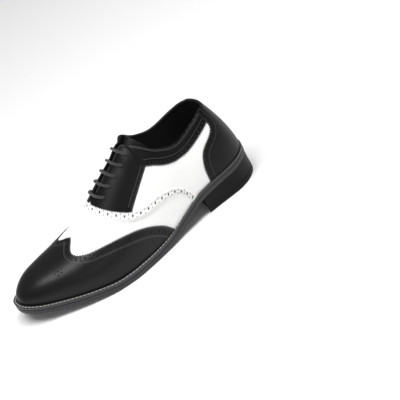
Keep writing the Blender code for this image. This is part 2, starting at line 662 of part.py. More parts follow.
def lace_path():
    """Middle line of the lace: bars over the facings, joined by runs under them through the holes."""
    over = -(LACE_RADIUS + 0.35 * MM)
    bend = 1.8 * MM
    under = WALL_INSIDE + bend
    holes = {(i // 2, s): (x, share) for i, (x, s, share) in enumerate(eyelets())}
    route = []
    side = -1.0

    def add(x, side, girth, depth):
        t = rib_t(x)
        share = float(girth_share(x, side, girth))
        route.append(skin(t, share, side) - skin_normal(t, share, side) * depth)

    quarter = np.linspace(0, np.pi / 2, 3)
    for row in range(EYELET_ROWS):
        here, there = holes[row, side][0], holes[row, -side][0]
        if row == 0:
            add(here, side, EYELET_FROM_EDGE, under + 0.4 * MM)
        add(here, side, EYELET_FROM_EDGE, 0.6 * WALL_INSIDE)
        for angle in quarter:
            add(here, side, EYELET_FROM_EDGE - bend * (1 - np.cos(angle)), -bend * np.sin(angle))
        for share in (0.3, 0.6, 0.85):
            add(here + share * 0.5 * (there - here), side, (1 - share) * (EYELET_FROM_EDGE - bend), over)
        half = curve(np.array(here), LAST_SECTIONS, "foot_x_mm", "cut_lateral_mm")
        top = skin(rib_t((here + there) / 2), 1.0, 1.0)
        route.append(np.array([top[0], top[1] - half, top[2] - over + 0.5 * MM]))
        for share in (0.85, 0.6, 0.3):
            add(there + share * 0.5 * (here - there), -side, (1 - share) * (EYELET_FROM_EDGE - bend), over)
        for angle in quarter[::-1]:
            add(there, -side, EYELET_FROM_EDGE - bend * (1 - np.cos(angle)), -bend * np.sin(angle))
        add(there, -side, EYELET_FROM_EDGE, 0.6 * WALL_INSIDE)
        if row == EYELET_ROWS - 1:
            add(there, -side, EYELET_FROM_EDGE, under + 0.4 * MM)
            break
        side = -side
        ahead = holes[row + 1, side][0]
        for angle in quarter[1:]:
            add(there - bend * (1 - np.cos(angle)), side, EYELET_FROM_EDGE, WALL_INSIDE + bend * np.sin(angle))
        add((there + ahead) / 2, side, EYELET_FROM_EDGE, under + 0.2 * MM)
        for angle in quarter[:0:-1]:
            add(ahead + bend * (1 - np.cos(angle)), side, EYELET_FROM_EDGE, WALL_INSIDE + bend * np.sin(angle))
    return np.array(route)


def build_lace(material):
    """Round lace as one tube along its middle line, with flat ends."""
    path = lace_path()
    along = np.gradient(path, axis=0)
    along /= np.linalg.norm(along, axis=1, keepdims=True)
    beside = np.zeros_like(path)
    beside[0] = np.cross(along[0], [1.0, 0.0, 0.0])
    for i in range(1, len(path)):
        beside[i] = beside[i - 1] - along[i] * np.dot(beside[i - 1], along[i])
        beside[i] /= np.linalg.norm(beside[i])
    above = np.cross(along, beside)
    turn = np.linspace(0, 2 * np.pi, LACE_SIDES + 1)[:-1]
    rings = path[:, None] + LACE_RADIUS * (
        np.cos(turn)[None, :, None] * beside[:, None] + np.sin(turn)[None, :, None] * above[:, None]
    )
    index = np.arange(rings.shape[0] * LACE_SIDES).reshape(rings.shape[:2])
    faces = quads(np.hstack([index, index[:, :1]]))
    faces += [index[0].tolist(), index[-1][::-1].tolist()]
    return finish("lace", rings.reshape(-1, 3), faces, material)


def main():
    for old in list(bpy.data.objects):
        bpy.data.objects.remove(old, do_unlink=True)
    black = leather("black_leather", (0.016, 0.016, 0.017), 0.38)
    white = leather("white_leather", (0.86, 0.86, 0.85), 0.45)
    sole_rubber = leather("sole_rubber", (0.03, 0.03, 0.03), 0.6)
    welt_leather = leather("welt_leather", (0.03, 0.03, 0.03), 0.5)
    heel_rubber = leather("heel_rubber", (0.02, 0.02, 0.02), 0.55)
    sock_leather = leather("sock_leather", (0.03, 0.03, 0.03), 0.7)
    lace_cotton = leather("lace_cotton", (0.02, 0.02, 0.02), 0.8)
    build_sole(sole_rubber, welt_leather, heel_rubber, sock_leather)
    upper = build_upper(white)
    build_wing_cap(black)
    build_vamp_band(white)
    facings = [build_facing("facing_lateral", 1.0, black), build_facing("facing_medial", -1.0, black)]
    build_collar_band("collar_band_lateral", 1.0, black)
    build_collar_band("collar_band_medial", -1.0, black)
    build_counter(black)
    build_tongue(black)
    punch_eyelets([upper, *facings])
    build_lace(lace_cotton)


main()
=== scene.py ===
"""Spectator shoe: a black and white full-brogue wingtip oxford for the left foot, empty, on its sole.

Lengths are in millimetres, in the shoe's own axes: x from the back of the heel to the toe, y to the outer
side and z up from the floor. ORIGIN takes them to the row's frame.
"""

import bpy
import numpy as np
from mathutils import Matrix
from mathutils.geometry import delaunay_2d_cdt


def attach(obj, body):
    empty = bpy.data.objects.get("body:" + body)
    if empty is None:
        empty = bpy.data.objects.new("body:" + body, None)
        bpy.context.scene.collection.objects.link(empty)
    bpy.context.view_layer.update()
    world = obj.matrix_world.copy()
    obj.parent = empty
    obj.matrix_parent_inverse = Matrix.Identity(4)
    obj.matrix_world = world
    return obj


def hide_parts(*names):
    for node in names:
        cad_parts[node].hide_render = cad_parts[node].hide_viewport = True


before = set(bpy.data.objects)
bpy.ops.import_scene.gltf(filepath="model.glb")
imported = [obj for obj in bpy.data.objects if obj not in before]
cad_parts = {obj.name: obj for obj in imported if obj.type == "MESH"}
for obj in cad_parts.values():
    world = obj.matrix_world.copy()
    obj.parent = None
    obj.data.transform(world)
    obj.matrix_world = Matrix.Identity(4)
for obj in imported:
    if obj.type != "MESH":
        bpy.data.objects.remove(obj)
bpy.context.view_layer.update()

# OUTSOLE
# The outsole is one rubber sole unit with toe spring and an arch, its edge trimmed and blacked. It is
# stitched and cemented under the welt.
MM = 0.001
LENGTH = 290
HEEL_ROUNDING = 38
TOE_ROUNDING = 30
TOE_SQUARENESS = 2.5
SOLE_THICKNESS = 9
SOLE_OUTLINE = (
    "x centre half_width",
    (0, 0.0, 33.0),
    (40, 0.3, 33.3),
    (70, 1.8, 33.0),
    (100, 5.6, 33.1),
    (130, 8.0, 37.3),
    (160, 5.8, 45.2),
    (180, 3.0, 50.0),
    (200, -0.6, 51.6),
    (225, -4.6, 47.3),
    (245, -7.8, 40.8),
    (262, -10.0, 33.6),
    (290, -12.0, 22.0),
)
WELT_TOP = (
    "x height",
    (0, 32.8),
    (20, 32.0),
    (45, 30.4),
    (72, 27.4),
    (90, 22.3),
    (110, 15.3),
    (130, 10.6),
    (150, 9.0),
    (190, 9.0),
    (215, 11.4),
    (240, 14.6),
    (262, 18.0),
    (280, 21.5),
    (290, 23.8),
)


def curve(x, table, key, value):
    """Cubic through a table's rows that never overshoots them: each slope is the weighted harmonic mean of
    the rises beside it, or 0 where they differ in sign."""
    names = table[0].split()
    keys = np.array([row[names.index(key)] for row in table[1:]], float)
    values = np.array([row[names.index(value)] for row in table[1:]], float)
    step = np.diff(keys)
    rise = np.diff(values) / step
    slope = np.concatenate([rise[:1], np.zeros(len(rise) - 1), rise[-1:]])
    same = rise[1:] * rise[:-1] > 0
    before, after = 2 * step[1:] + step[:-1], step[1:] + 2 * step[:-1]
    safe = np.where(same, before / np.where(same, rise[:-1], 1) + after / np.where(same, rise[1:], 1), 1)
    slope[1:-1] = np.where(same, (before + after) / safe, 0)
    x = np.clip(x, keys[0], keys[-1])
    i = np.clip(np.searchsorted(keys, x, side="right") - 1, 0, len(keys) - 2)
    t = (x - keys[i]) / step[i]
    start = (2 * t**3 - 3 * t**2 + 1) * values[i] + (t**3 - 2 * t**2 + t) * step[i] * slope[i]
    end = (3 * t**2 - 2 * t**3) * values[i + 1] + (t**3 - t**2) * step[i] * slope[i + 1]
    return start + end


def centre_line(x):
    """Sideways place of the sole's middle at x."""
    return curve(x, SOLE_OUTLINE, "x", "centre")


def half_width(x, inset, heel_inset, toe_inset):
    """Half the sole's width at x, less an inset: the table's width, times a round heel and a squarer toe."""
    last_x = LENGTH - toe_inset
    heel = np.clip((HEEL_ROUNDING - (x - heel_inset)) / HEEL_ROUNDING, 0, 1)
    toe = np.clip((x - (last_x - TOE_ROUNDING)) / TOE_ROUNDING, 0, 1)
    rounding = np.sqrt(1 - heel**2) * (1 - toe**TOE_SQUARENESS) ** (1 / TOE_SQUARENESS)
    return (curve(x, SOLE_OUTLINE, "x", "half_width") - inset) * rounding


def welt_top(x):
    """Height of the welt's upper face at x."""
    return curve(x, WELT_TOP, "x", "height")


EDGE_X = np.linspace(0, LENGTH, 2001)
EDGE_HALF = half_width(EDGE_X, 0, 0, 0)
MIDDLE_Y = ((centre_line(EDGE_X) + EDGE_HALF).max() + (centre_line(EDGE_X) - EDGE_HALF).min()) / 2
ORIGIN = np.array([LENGTH / 2, MIDDLE_Y, 0.0])
SIDE_STATIONS = 160


def unit(vectors):
    """The vectors at a length of one."""
    return vectors / np.maximum(np.linalg.norm(vectors, axis=-1, keepdims=True), 1e-9)


def left_of(along):
    """Flat directions turned a quarter to the left."""
    return np.stack([-along[:, 1], along[:, 0]], 1)


def sole_ring(inset, drop):
    """Closed line round the sole: heel, outer side, toe, inner side. Each point of the edge moves in by the
    inset along the edge's normal, and lies a drop below the welt's top."""
    x = LENGTH * 0.5 * (1 - np.cos(np.pi * np.linspace(0, 1, SIDE_STATIONS + 1)))
    half = half_width(x, 0, 0, 0)
    outer = np.stack([x, centre_line(x) + half], 1)
    inner = np.stack([x, centre_line(x) - half], 1)
    ring = np.concatenate([outer, inner[-2:0:-1]])
    ring = ring - left_of(unit(np.roll(ring, -1, 0) - np.roll(ring, 1, 0))) * inset
    return np.column_stack([ring, welt_top(ring[:, 0]) - drop])


def grid_faces(index):
    """Four-sided faces between the neighbours of a grid of point numbers."""
    a, b, c, d = index[:-1, :-1], index[1:, :-1], index[1:, 1:], index[:-1, 1:]
    return np.stack([a, b, c, d], -1).reshape(-1, 4)


def in_scene(name, data):
    """New object of a mesh, a camera or a light, in the scene."""
    thing = bpy.data.objects.new(name, data)
    bpy.context.scene.collection.objects.link(thing)
    return thing


def make_piece(name, points, faces, materials, crease=38, face_material=None):
    """Mesh object from points in the shoe's millimetres, its faces smooth up to the crease angle."""
    mesh = bpy.data.meshes.new(name)
    mesh.from_pydata(((np.asarray(points, float) - ORIGIN) * MM).tolist(), [], [list(f) for f in faces])
    for material in materials:
        mesh.materials.append(material)
    if face_material is not None:
        mesh.polygons.foreach_set("material_index", np.asarray(face_material, np.int32))
    mesh.shade_smooth()
    mesh.set_sharp_from_angle(angle=np.radians(crease))
    return in_scene(name, mesh)


def outward(points, faces):
    """The faces, all turned round if the body that they close has a negative volume."""
    tri = np.array([f[:3] for f in faces])
    a, b, c = points[tri[:, 0]], points[tri[:, 1]], points[tri[:, 2]]
    if np.einsum("ij,ij->i", a - points.mean(0), np.cross(b - a, c - a)).sum() < 0:
        return [list(f)[::-1] for f in faces]
    return [list(f) for f in faces]


def lofted(name, rings, materials, fan=False):
    """Closed body through rings of one count, from the top one down. Both ends are closed by a ladder of
    faces across the ring, or by a fan about its middle."""
    count = len(rings[0])
    index = np.arange(len(rings) * count).reshape(len(rings), count)
    faces = grid_faces(np.hstack([index, index[:, :1]])).tolist()
    points = np.concatenate(rings + [rings[k].mean(0, keepdims=True) for k in (0, -1) if fan])
    if fan:
        ends = ((np.roll(index[0], -1), index[0], -2), (index[-1], np.roll(index[-1], -1), -1))
        for one, other, middle in ends:
            faces += np.stack([one, other, np.full(count, len(points) + middle)], 1).tolist()
        return make_piece(name, points, outward(points, faces), materials)
    outer = np.arange(0, count // 2 + 1)
    inner = (count - outer) % count
    ladder = np.stack([outer[:-1], outer[1:], inner[1:], inner[:-1]], 1)
    for cap in (index[0][ladder], index[-1][ladder[:, ::-1]]):
        faces += [list(dict.fromkeys(face)) for face in cap.tolist()]
    return make_piece(name, points, outward(points, faces), materials)


def srgb(code):
    """Linear colour of an sRGB hex code: each channel is raised by the sRGB curve."""
    channel = np.array([int(code[i : i + 2], 16) for i in (0, 2, 4)]) / 255
    linear = np.where(channel <= 0.04045, channel / 12.92, ((channel + 0.055) / 1.055) ** 2.4)
    return (*linear.tolist(), 1.0)


def add_node(tree, kind, settings=None, values=None, links=None):
    """Add a node with its settings and its sockets' values, and link sockets from (node, output) pairs."""
    node = tree.nodes.new(kind)
    for name, value in (settings or {}).items():
        setattr(node, name, value)
    for name, value in (values or {}).items():
        node.inputs[name].default_value = value
    for name, (source, output) in (links or {}).items():
        tree.links.new(source.outputs[output], node.inputs[name])
    return node


def start_material(name, **sockets):
    """New material with its shader's sockets set, and the Object coordinates that its patterns read."""
    material = bpy.data.materials.new(name)
    material.use_nodes = True
    tree = material.node_tree
    shader = tree.nodes["Principled BSDF"]
    for socket, value in sockets.items():
        shader.inputs[socket.replace("_", " ")].default_value = value
    place = add_node(tree, "ShaderNodeTexCoord")
    return material, tree, shader, place


def pattern(tree, place, kind, **values):
    """Noise or cells in the object's own metres: a scale of 1000 gives about one cell a millimetre."""
    return add_node(tree, "ShaderNodeTex" + kind, None, values, {"Vector": (place, "Object")})


def add_bump(tree, height, strength, distance, **links):
    """Bump over a pattern's first output, its distance in metres."""
    values = {"Strength": strength, "Distance": distance}
    return add_node(tree, "ShaderNodeBump", None, values, {"Height": (height, 0), **links})


def two_toned(name, scale, detail, tones, spread, **sockets):
    """Material whose colour drifts between two tones in slow patches."""
    material, tree, shader, place = start_material(name, **sockets)
    patches = pattern(tree, place, "Noise", Scale=scale, Detail=detail)
    ramp = add_node(tree, "ShaderNodeValToRGB", links={"Fac": (patches, "Fac")})
    for stop, position, tone in zip(ramp.color_ramp.elements, spread, tones):
        stop.position, stop.color = position, srgb(tone)
    tree.links.new(ramp.outputs["Color"], shader.inputs["Base Color"])
    return material, tree, shader, place


def moulded_rubber(name, dark, light, roughness, gloss):
    """Blacked rubber: fine 0.6 mm buffing grain and slow 12 mm patches of a paler, duller black."""
    sockets = {"Roughness": roughness, "Specular_IOR_Level": gloss}
    material, tree, shader, place = two_toned(name, 80.0, 3.0, (dark, light), (0.3, 0.75), **sockets)
    bump = add_bump(tree, pattern(tree, place, "Noise", Scale=1800.0, Detail=2.0), 0.12, 0.0002)
    tree.links.new(bump.outputs["Normal"], shader.inputs["Normal"])
    return material


sole_rubber = moulded_rubber("blacked_sole_rubber", "262628", "313133", 0.5, 0.4)
SOLE_EDGE = ((0.9, 3.2), (0.35, 3.35), (0.05, 3.8), (0, 4.6), (0, 7.2), (0.15, 8.1), (0.5, 8.7), (1.1, 9))
outsole = lofted("outsole_dressed", [sole_ring(inset, drop) for inset, drop in SOLE_EDGE], [sole_rubber])
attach(outsole, "root")
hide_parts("outsole")

# HEEL
# The heel is a moulded rubber block with a separate top lift, nailed under the sole. Its front edge, the
# breast, is hollowed a little.
HEEL_FRONT = 73
BREAST_HOLLOW = 4
TOP_LIFT = 6


def heel_ring(inset, height, breast_inset=0.0):
    """Closed line round the heel: the sole's edge drawn in, from breast to breast, then the hollow breast.
    The height is a share between the floor at 0 and the sole's underside at 1, plus a rise in millimetres."""
    share, rise = height
    front = HEEL_FRONT - breast_inset
    x = inset + (front - inset) * (1 - np.cos(0.5 * np.pi * np.linspace(0, 1, 61)))
    half = half_width(x, inset, inset, inset)
    outer = np.stack([x, centre_line(x) + half], 1)
    inner = np.stack([x, centre_line(x) - half], 1)
    across = np.linspace(1, -1, 25)[1:-1]
    breast_x = front - BREAST_HOLLOW * (1 - across**2)
    breast = np.stack([breast_x, centre_line(front) + across * half[-1]], 1)
    ring = np.concatenate([outer, breast, inner[:0:-1]])
    return np.column_stack([ring, share * (welt_top(ring[:, 0]) - SOLE_THICKNESS) + rise])


heel_rubber = moulded_rubber("heel_block_rubber", "080809", "0e0e0f", 0.5, 0.15)
HEEL_SIDE = (
    (0.5, (1.0, 0.0)),
    (0.75, (0.8, 0.0)),
    (0.8, (0.5, 0.0)),
    (0.75, (0.0, TOP_LIFT + 0.4)),
    (1.0, (0.0, TOP_LIFT + 0.15)),
    (1.0, (0.0, TOP_LIFT - 0.15)),
    (0.65, (0.0, TOP_LIFT - 0.4)),
    (0.6, (0.0, 1.6)),
    (0.8, (0.0, 0.6)),
    (1.4, (0.0, 0.0)),
)
heel = lofted("heel_dressed", [heel_ring(i, h, i - 0.5) for i, h in HEEL_SIDE], [heel_rubber], fan=True)
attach(heel, "root")
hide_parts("heel")

# WELT
# The welt is a strip of waxed leather round the whole shoe. A row of pale lockstitches in a shallow groove
# holds it to the sole, and its edge is trimmed to a fine bright line.
WELT_STITCH_PITCH = 4.3
WELT_STITCH_INSET = 2.1
WELT_STITCH_DROP = 0.12
WELT_STITCH_SIZE = (3.1, 0.95, 0.7)
DIRECTION_REACH = 0.2


def grained(name, colour, kind, values, strength, distance, **sockets):
    """Material of one colour under a fine grain: a pattern of a kind, with its values, read as a bump."""
    material, tree, shader, place = start_material(name, Base_Color=srgb(colour), **sockets)
    bump = add_bump(tree, pattern(tree, place, kind, **values), strength, distance)
    tree.links.new(bump.outputs["Normal"], shader.inputs["Normal"])
    return material


def waxed_leather(name, colour, roughness):
    """Waxed strip leather: a soft shine over 1 mm fibres."""
    sockets = {"Roughness": roughness, "Coat_Weight": 0.25, "Coat_Roughness": 0.3}
    return grained(name, colour, "Noise", {"Scale": 900.0, "Detail": 4.0}, 0.25, 0.0003, **sockets)


welt_leather = waxed_leather("waxed_welt_leather", "1e1e20", 0.45)
WELT_PROFILE = (
    (7.5, 0.0),
    (3.0, 0.0),
    (2.6, 0.2),
    (2.1, 0.32),
    (1.6, 0.2),
    (1.2, 0.0),
    (0.5, 0.02),
    (0.12, 0.25),
    (0.0, 0.8),
    (0.0, 2.3),
    (0.15, 2.8),
    (0.7, 3.1),
    (7.5, 3.1),
)
rings = [sole_ring(i, d) for i, d in WELT_PROFILE]
index = np.arange(len(rings) * len(rings[0])).reshape(len(rings), -1)
index = np.vstack([index, index[:1]])
index = np.hstack([index, index[:, :1]])
points = np.concatenate(rings)
welt = make_piece("welt_dressed", points, outward(points, grid_faces(index).tolist()), [welt_leather])
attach(welt, "root")
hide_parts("welt")


def run_of(path):
    """Running length of a path at each of its points."""
    return np.concatenate([[0], np.cumsum(np.linalg.norm(np.diff(path, axis=0), axis=1))])


def read_at(path, run, at):
    """Points of a path at some values of its running length."""
    return np.stack([np.interp(at, run, path[:, k]) for k in range(path.shape[1])], 1)


def evenly(path, pitch, start=0.0):
    """Points and directions at an even pitch along a path, by its running length."""
    run = run_of(path)
    at = start + pitch * np.arange(max(int((run[-1] - start) / pitch), 1))
    ahead = read_at(path, run, np.minimum(at + DIRECTION_REACH, run[-1]))
    behind = read_at(path, run, np.maximum(at - DIRECTION_REACH, 0))
    return read_at(path, run, at), unit(ahead - behind)


def stitches(name, centres, along, out, size, material):
    """Row of stitches as one mesh: each is a low pillow of thread, five rings of six points, closed at the
    ends. Its size is a length, a width and a height."""
    length, width, height = size
    ring = np.linspace(0, 2 * np.pi, 7)[:-1]
    stations = np.array([-0.5, -0.38, 0.0, 0.38, 0.5])
    girth = np.array([0.25, 0.8, 1.0, 0.8, 0.25])
    across = unit(np.cross(out, along))
    up = np.cross(along, across)
    x = np.repeat(stations * length, 6)
    y = (girth[:, None] * np.cos(ring) * width * 0.5).ravel()
    z = (girth[:, None] * np.sin(ring) * height * 0.5).ravel()
    points = centres[:, None] + x[None, :, None] * along[:, None] + y[None, :, None] * across[:, None]
    points = points + z[None, :, None] * up[:, None]
    index = np.arange(30).reshape(5, 6)
    index = np.hstack([index, index[:, :1]])
    one = grid_faces(index)[:, ::-1]
    shift = (30 * np.arange(len(centres)))[:, None, None]
    faces = (one[None] + shift).reshape(-1, 4).tolist()
    ends = np.array([[0, 1, 2, 3, 4, 5], [29, 28, 27, 26, 25, 24]])
    faces += (ends[None] + shift).reshape(-1, 6).tolist()
    return make_piece(name, points.reshape(-1, 3), faces, [material], 60)


def spun_thread(name, colour):
    """Waxed sewing thread: matt, with a twist too fine to see, drawn as a 0.4 mm grain."""
    return grained(name, colour, "Noise", {"Scale": 2500.0}, 0.3, 0.0001, Roughness=0.6)


welt_thread = spun_thread("grey_welt_thread", "b4b4b2")
row = sole_ring(WELT_STITCH_INSET, WELT_STITCH_DROP)
row, along = evenly(np.concatenate([row, row[:1]]), WELT_STITCH_PITCH)
upward = np.tile([0.0, 0.0, 1.0], (len(row), 1))
welt_stitches = stitches("welt_stitches", row, along, upward, WELT_STITCH_SIZE, welt_thread)
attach(welt_stitches, "root")

# UPPER
# The upper is white calf pulled over a last and closed under the insole: vamp and quarters in one skin here,
# with a black leather lining. The last is a set of ribs, each a rounded arch cut off at the collar or gap.
HEEL_X = 1.0
TOE_X = 285.5
TOE_BOX_ROUNDING = 32
TOE_BOX_SQUARENESS = 2.3
COLLAR_BACK_ROUNDING = 19
COLLAR_BACK_HALF = 17.6
COLLAR_BACK_SHARE = 0.778
THROAT_X = 171
RIBS = 521
ROWS = 181
FINE_ROWS = 240
FOOT_LINE = (
    "x inset",
    (0, 1.0),
    (70, 1.0),
    (100, 1.3),
    (150, 3.4),
    (190, 4.3),
    (290, 4.5),
)
LAST_SECTIONS = (
    "x height middle roundness cut_outer cut_inner lean bulge",
    (1, 98.2, 0.0, 2.1, 0.0, 0.0, 16.5, 0.3),
    (20, 99.0, 0.0, 2.2, 17.6, 17.6, 7.3, 2.0),
    (40, 95.5, 0.0, 2.3, 24.2, 24.8, 2.0, 2.5),
    (70, 89.9, 0.0, 2.8, 29.3, 28.2, 0.0, 2.0),
    (90, 97.5, 0.3, 2.5, 26.3, 24.2, 0.0, 1.5),
    (104, 109.6, 0.4, 2.4, 19.3, 19.3, 0.0, 1.0),
    (110, 112.3, 0.4, 2.3, 11.0, 11.0, 0.0, 1.0),
    (114, 112.2, 0.4, 2.2, 2.6, 2.6, 0.0, 0.5),
    (130, 102.4, 0.4, 2.1, 2.3, 2.3, 0.0, 0.5),
    (150, 91.1, 0.2, 1.95, 1.9, 1.9, 0.0, 0.5),
    (166, 80.1, 0.0, 1.9, 1.5, 1.5, 0.0, 0.5),
    (171, 76.6, 0.0, 1.9, 0.0, 0.0, 0.0, 0.5),
    (190, 64.0, -0.8, 2.1, 0.0, 0.0, 0.0, 0.5),
    (206, 56.0, -1.8, 2.3, 0.0, 0.0, 0.0, 0.5),
    (225, 50.5, -4.4, 2.4, 0.0, 0.0, 0.0, 0.5),
    (245, 47.0, -7.6, 2.4, 0.0, 0.0, 0.0, 0.3),
    (262, 44.5, -9.8, 2.35, 0.0, 0.0, 0.0, 0.2),
    (286, 40.0, -12.0, 2.3, 0.0, 0.0, 0.0, 0.0),
)


def foot_point(x, side):
    """Point where the skin meets the welt at x, on the outer (+1) or inner (-1) side."""
    inset = curve(x, FOOT_LINE, "x", "inset")
    half = half_width(x, inset, HEEL_X, LENGTH - TOE_X)
    return np.stack([x, centre_line(x) + side * half, welt_top(x)], -1)


def last_ribs(x, side, parts):
    """Points of the ribs at x, at parts 0 to 1 of the way up. With a the angle up the arch, a rib's width
    falls as cos(a) to a power and its height climbs as sin(a) to that power. It leans forward at the heel,
    and swells outward in a half wave."""
    value = lambda name: curve(x, LAST_SECTIONS, "x", name)[:, None]
    foot = foot_point(x, side)[:, None]
    toe = np.clip((x - TOE_X) / TOE_BOX_ROUNDING + 1, 0, 1)[:, None]
    dome = (1 - toe**TOE_BOX_SQUARENESS) ** (1 / TOE_BOX_SQUARENESS)
    rise = (value("height") - foot[..., 2]) * dome
    middle = centre_line(x)[:, None] * (1 - dome) + value("middle") * dome
    back = np.clip((x - HEEL_X) / COLLAR_BACK_ROUNDING, 0, 1)[:, None]
    cut = value("cut_outer" if side > 0 else "cut_inner")
    cut = np.where(back < 1, COLLAR_BACK_HALF * np.sqrt(1 - (1 - back) ** 2), cut)
    reach = np.maximum(np.abs(foot[..., 1] - middle), 1e-6)
    share = np.where(x[:, None] <= HEEL_X + 1e-4, COLLAR_BACK_SHARE, np.clip(cut / reach, 0, 0.98))
    last_angle = np.arccos(share ** (value("roundness") / 2))
    angle = parts * last_angle
    power = 2 / value("roundness")
    climbed = (np.sin(angle) / np.sin(last_angle)) ** power
    ahead = foot_point(np.minimum(x + 0.2, TOE_X), side)
    behind = foot_point(np.maximum(x - 0.2, HEEL_X), side)
    out = np.stack([-(ahead - behind)[:, 1] * side, (ahead - behind)[:, 0] * side], 1)
    out[x <= HEEL_X + 1e-4] = (-1, 0)
    out = unit(out)
    swell = value("bulge") * np.sin(np.pi * np.clip(climbed, 0, 1) ** 0.8)
    points_x = foot[..., 0] + value("lean") * climbed**1.6 + out[:, :1] * swell
    points_y = middle + (foot[..., 1] - middle) * np.cos(angle) ** power + out[:, 1:] * swell
    return np.stack([points_x, points_y, foot[..., 2] + rise * climbed], -1)


def skin_grid(side):
    """The skin's points, outward normals and rib lengths on a grid of ribs and even shares of each rib."""
    x = HEEL_X + (TOE_X - HEEL_X) * 0.5 * (1 - np.cos(np.pi * np.linspace(0, 1, RIBS)))
    parts = np.linspace(0, 1, FINE_ROWS + 1)[None]
    fine = last_ribs(x, side, parts)
    steps = np.linalg.norm(np.diff(fine, axis=1), axis=2)
    run = np.concatenate([np.zeros((RIBS, 1)), np.cumsum(steps, 1)], 1)
    want = np.linspace(0, 1, ROWS)[None] * run[:, -1:]
    i = np.clip((run[:, None, :] < want[:, :, None]).sum(2) - 1, 0, FINE_ROWS - 1)
    low, high = np.take_along_axis(run, i, 1), np.take_along_axis(run, i + 1, 1)
    part = (i + (want - low) / np.maximum(high - low, 1e-9)) / FINE_ROWS
    points = last_ribs(x, side, part)
    normal = np.cross(np.gradient(points, axis=1), np.gradient(points, axis=0)) * side
    on_ridge = x > THROAT_X + 0.5
    normal[on_ridge, -1, 1] = 0
    normal[0, :, 1] = 0
    normal[:, 0, 2] = 0
    size = np.linalg.norm(normal, axis=2, keepdims=True)
    normal = np.where(size > 1e-9, normal / np.maximum(size, 1e-12), np.array([1.0, 0.0, 0.0]))
    return x, points, normal, run[:, -1]


OUTER = skin_grid(1)
INNER = skin_grid(-1)
RIB_X = OUTER[0]
TOP_ROLL = 1.2
ROLL_DEPTH = 1.35


def rib_length(x, side):
    """Length of the rib at x."""
    return np.where(side > 0, np.interp(x, RIB_X, OUTER[3]), np.interp(x, RIB_X, INNER[3]))


def skin(x, share, side, depth):
    """Point and normal at a depth under the skin, read between the grid's points. The last 1.2 mm below the
    collar and the lacing gap roll over in a quarter circle, as folded leather does."""
    x, share, side, depth = [np.asarray(a, float).ravel() for a in np.broadcast_arrays(x, share, side, depth)]
    rib = np.interp(x, RIB_X, np.arange(RIBS))
    i = np.clip(rib.astype(int), 0, RIBS - 2)
    j = np.clip((share * (ROWS - 1)).astype(int), 0, ROWS - 2)
    p, q = (rib - i)[:, None], (share * (ROWS - 1) - j)[:, None]
    outer = side > 0

    def blend(which):
        mixed = np.zeros((len(x), 3))
        for table, mask in ((OUTER[which], outer), (INNER[which], ~outer)):
            a, b, s, r = i[mask], j[mask], p[mask], q[mask]
            low = table[a, b] * (1 - s) + table[a + 1, b] * s
            high = table[a, b + 1] * (1 - s) + table[a + 1, b + 1] * s
            mixed[mask] = low * (1 - r) + high * r
        return mixed

    normal = unit(blend(2))
    near = np.clip(1 - (1 - share) * rib_length(x, side) / TOP_ROLL, 0, 1) * (x < THROAT_X)
    depth = depth + (ROLL_DEPTH - depth) * (1 - np.sqrt(1 - near**2))
    return blend(1) - normal * depth[:, None], normal


def calf(name, colour, deep, roughness, coat, gloss, grain):
    """Smooth chrome-tanned calf: a polished finish over 0.6 mm pebbled pores, with slow 25 mm rises and a
    tone that drifts a little between panels."""
    sockets = {"Specular_IOR_Level": gloss, "Coat_Weight": coat, "Coat_Roughness": 0.22}
    tones = (deep, colour)
    material, tree, shader, place = two_toned(name, 28.0, 4.0, tones, (0.3, 0.7), Roughness=roughness, **sockets)
    slow = add_bump(tree, pattern(tree, place, "Noise", Scale=45.0, Detail=2.0), 0.25, 0.0012)
    pores = pattern(tree, place, "Voronoi", Scale=1500.0)
    fine = add_bump(tree, pores, grain, 0.00012, Normal=(slow, "Normal"))
    tree.links.new(fine.outputs["Normal"], shader.inputs["Normal"])
    return material


def lining_leather(name, colour):
    """Matt lining leather with a 1 mm grain."""
    return grained(name, colour, "Voronoi", {"Scale": 900.0}, 0.3, 0.0002, Roughness=0.75)


white_calf = calf("white_calf", "f8f8f7", "f1f1f0", 0.45, 0.05, 0.35, 0.1)
black_calf = calf("black_calf", "0c0c0d", "080809", 0.42, 0.0, 0.17, 0.12)
polished_calf = calf("polished_black_calf", "0e0e0f", "0a0a0b", 0.38, 0.0, 0.28, 0.12)
black_lining = lining_leather("black_lining_leather", "141415")
BASE_DEPTH = 0.95
# Above this share of a rib and behind this x, black panels lie over the skin, so its face is black there too.
HIDDEN_SHARE = 0.86
HIDDEN_X = 169
LINING_DEPTH = 2.7


def shell(depth, x, share):
    """Grid of the skin right round the last at one depth: up the outer side's ribs, then the inner side's."""
    xs = np.concatenate([x, x[-2:0:-1]])
    side = np.concatenate([np.ones(len(x)), -np.ones(len(x) - 2)])
    points, _ = skin(xs[:, None], share[None], side[:, None], depth)
    return points.reshape(len(xs), len(share), 3)


def even_stations(first, last, count):
    """Stations between two x, closer together at the heel and the toe."""
    turn = lambda x: np.arccos(1 - 2 * (x - HEEL_X) / (TOE_X - HEEL_X))
    return HEEL_X + (TOE_X - HEEL_X) * 0.5 * (1 - np.cos(np.linspace(turn(first), turn(last), count)))


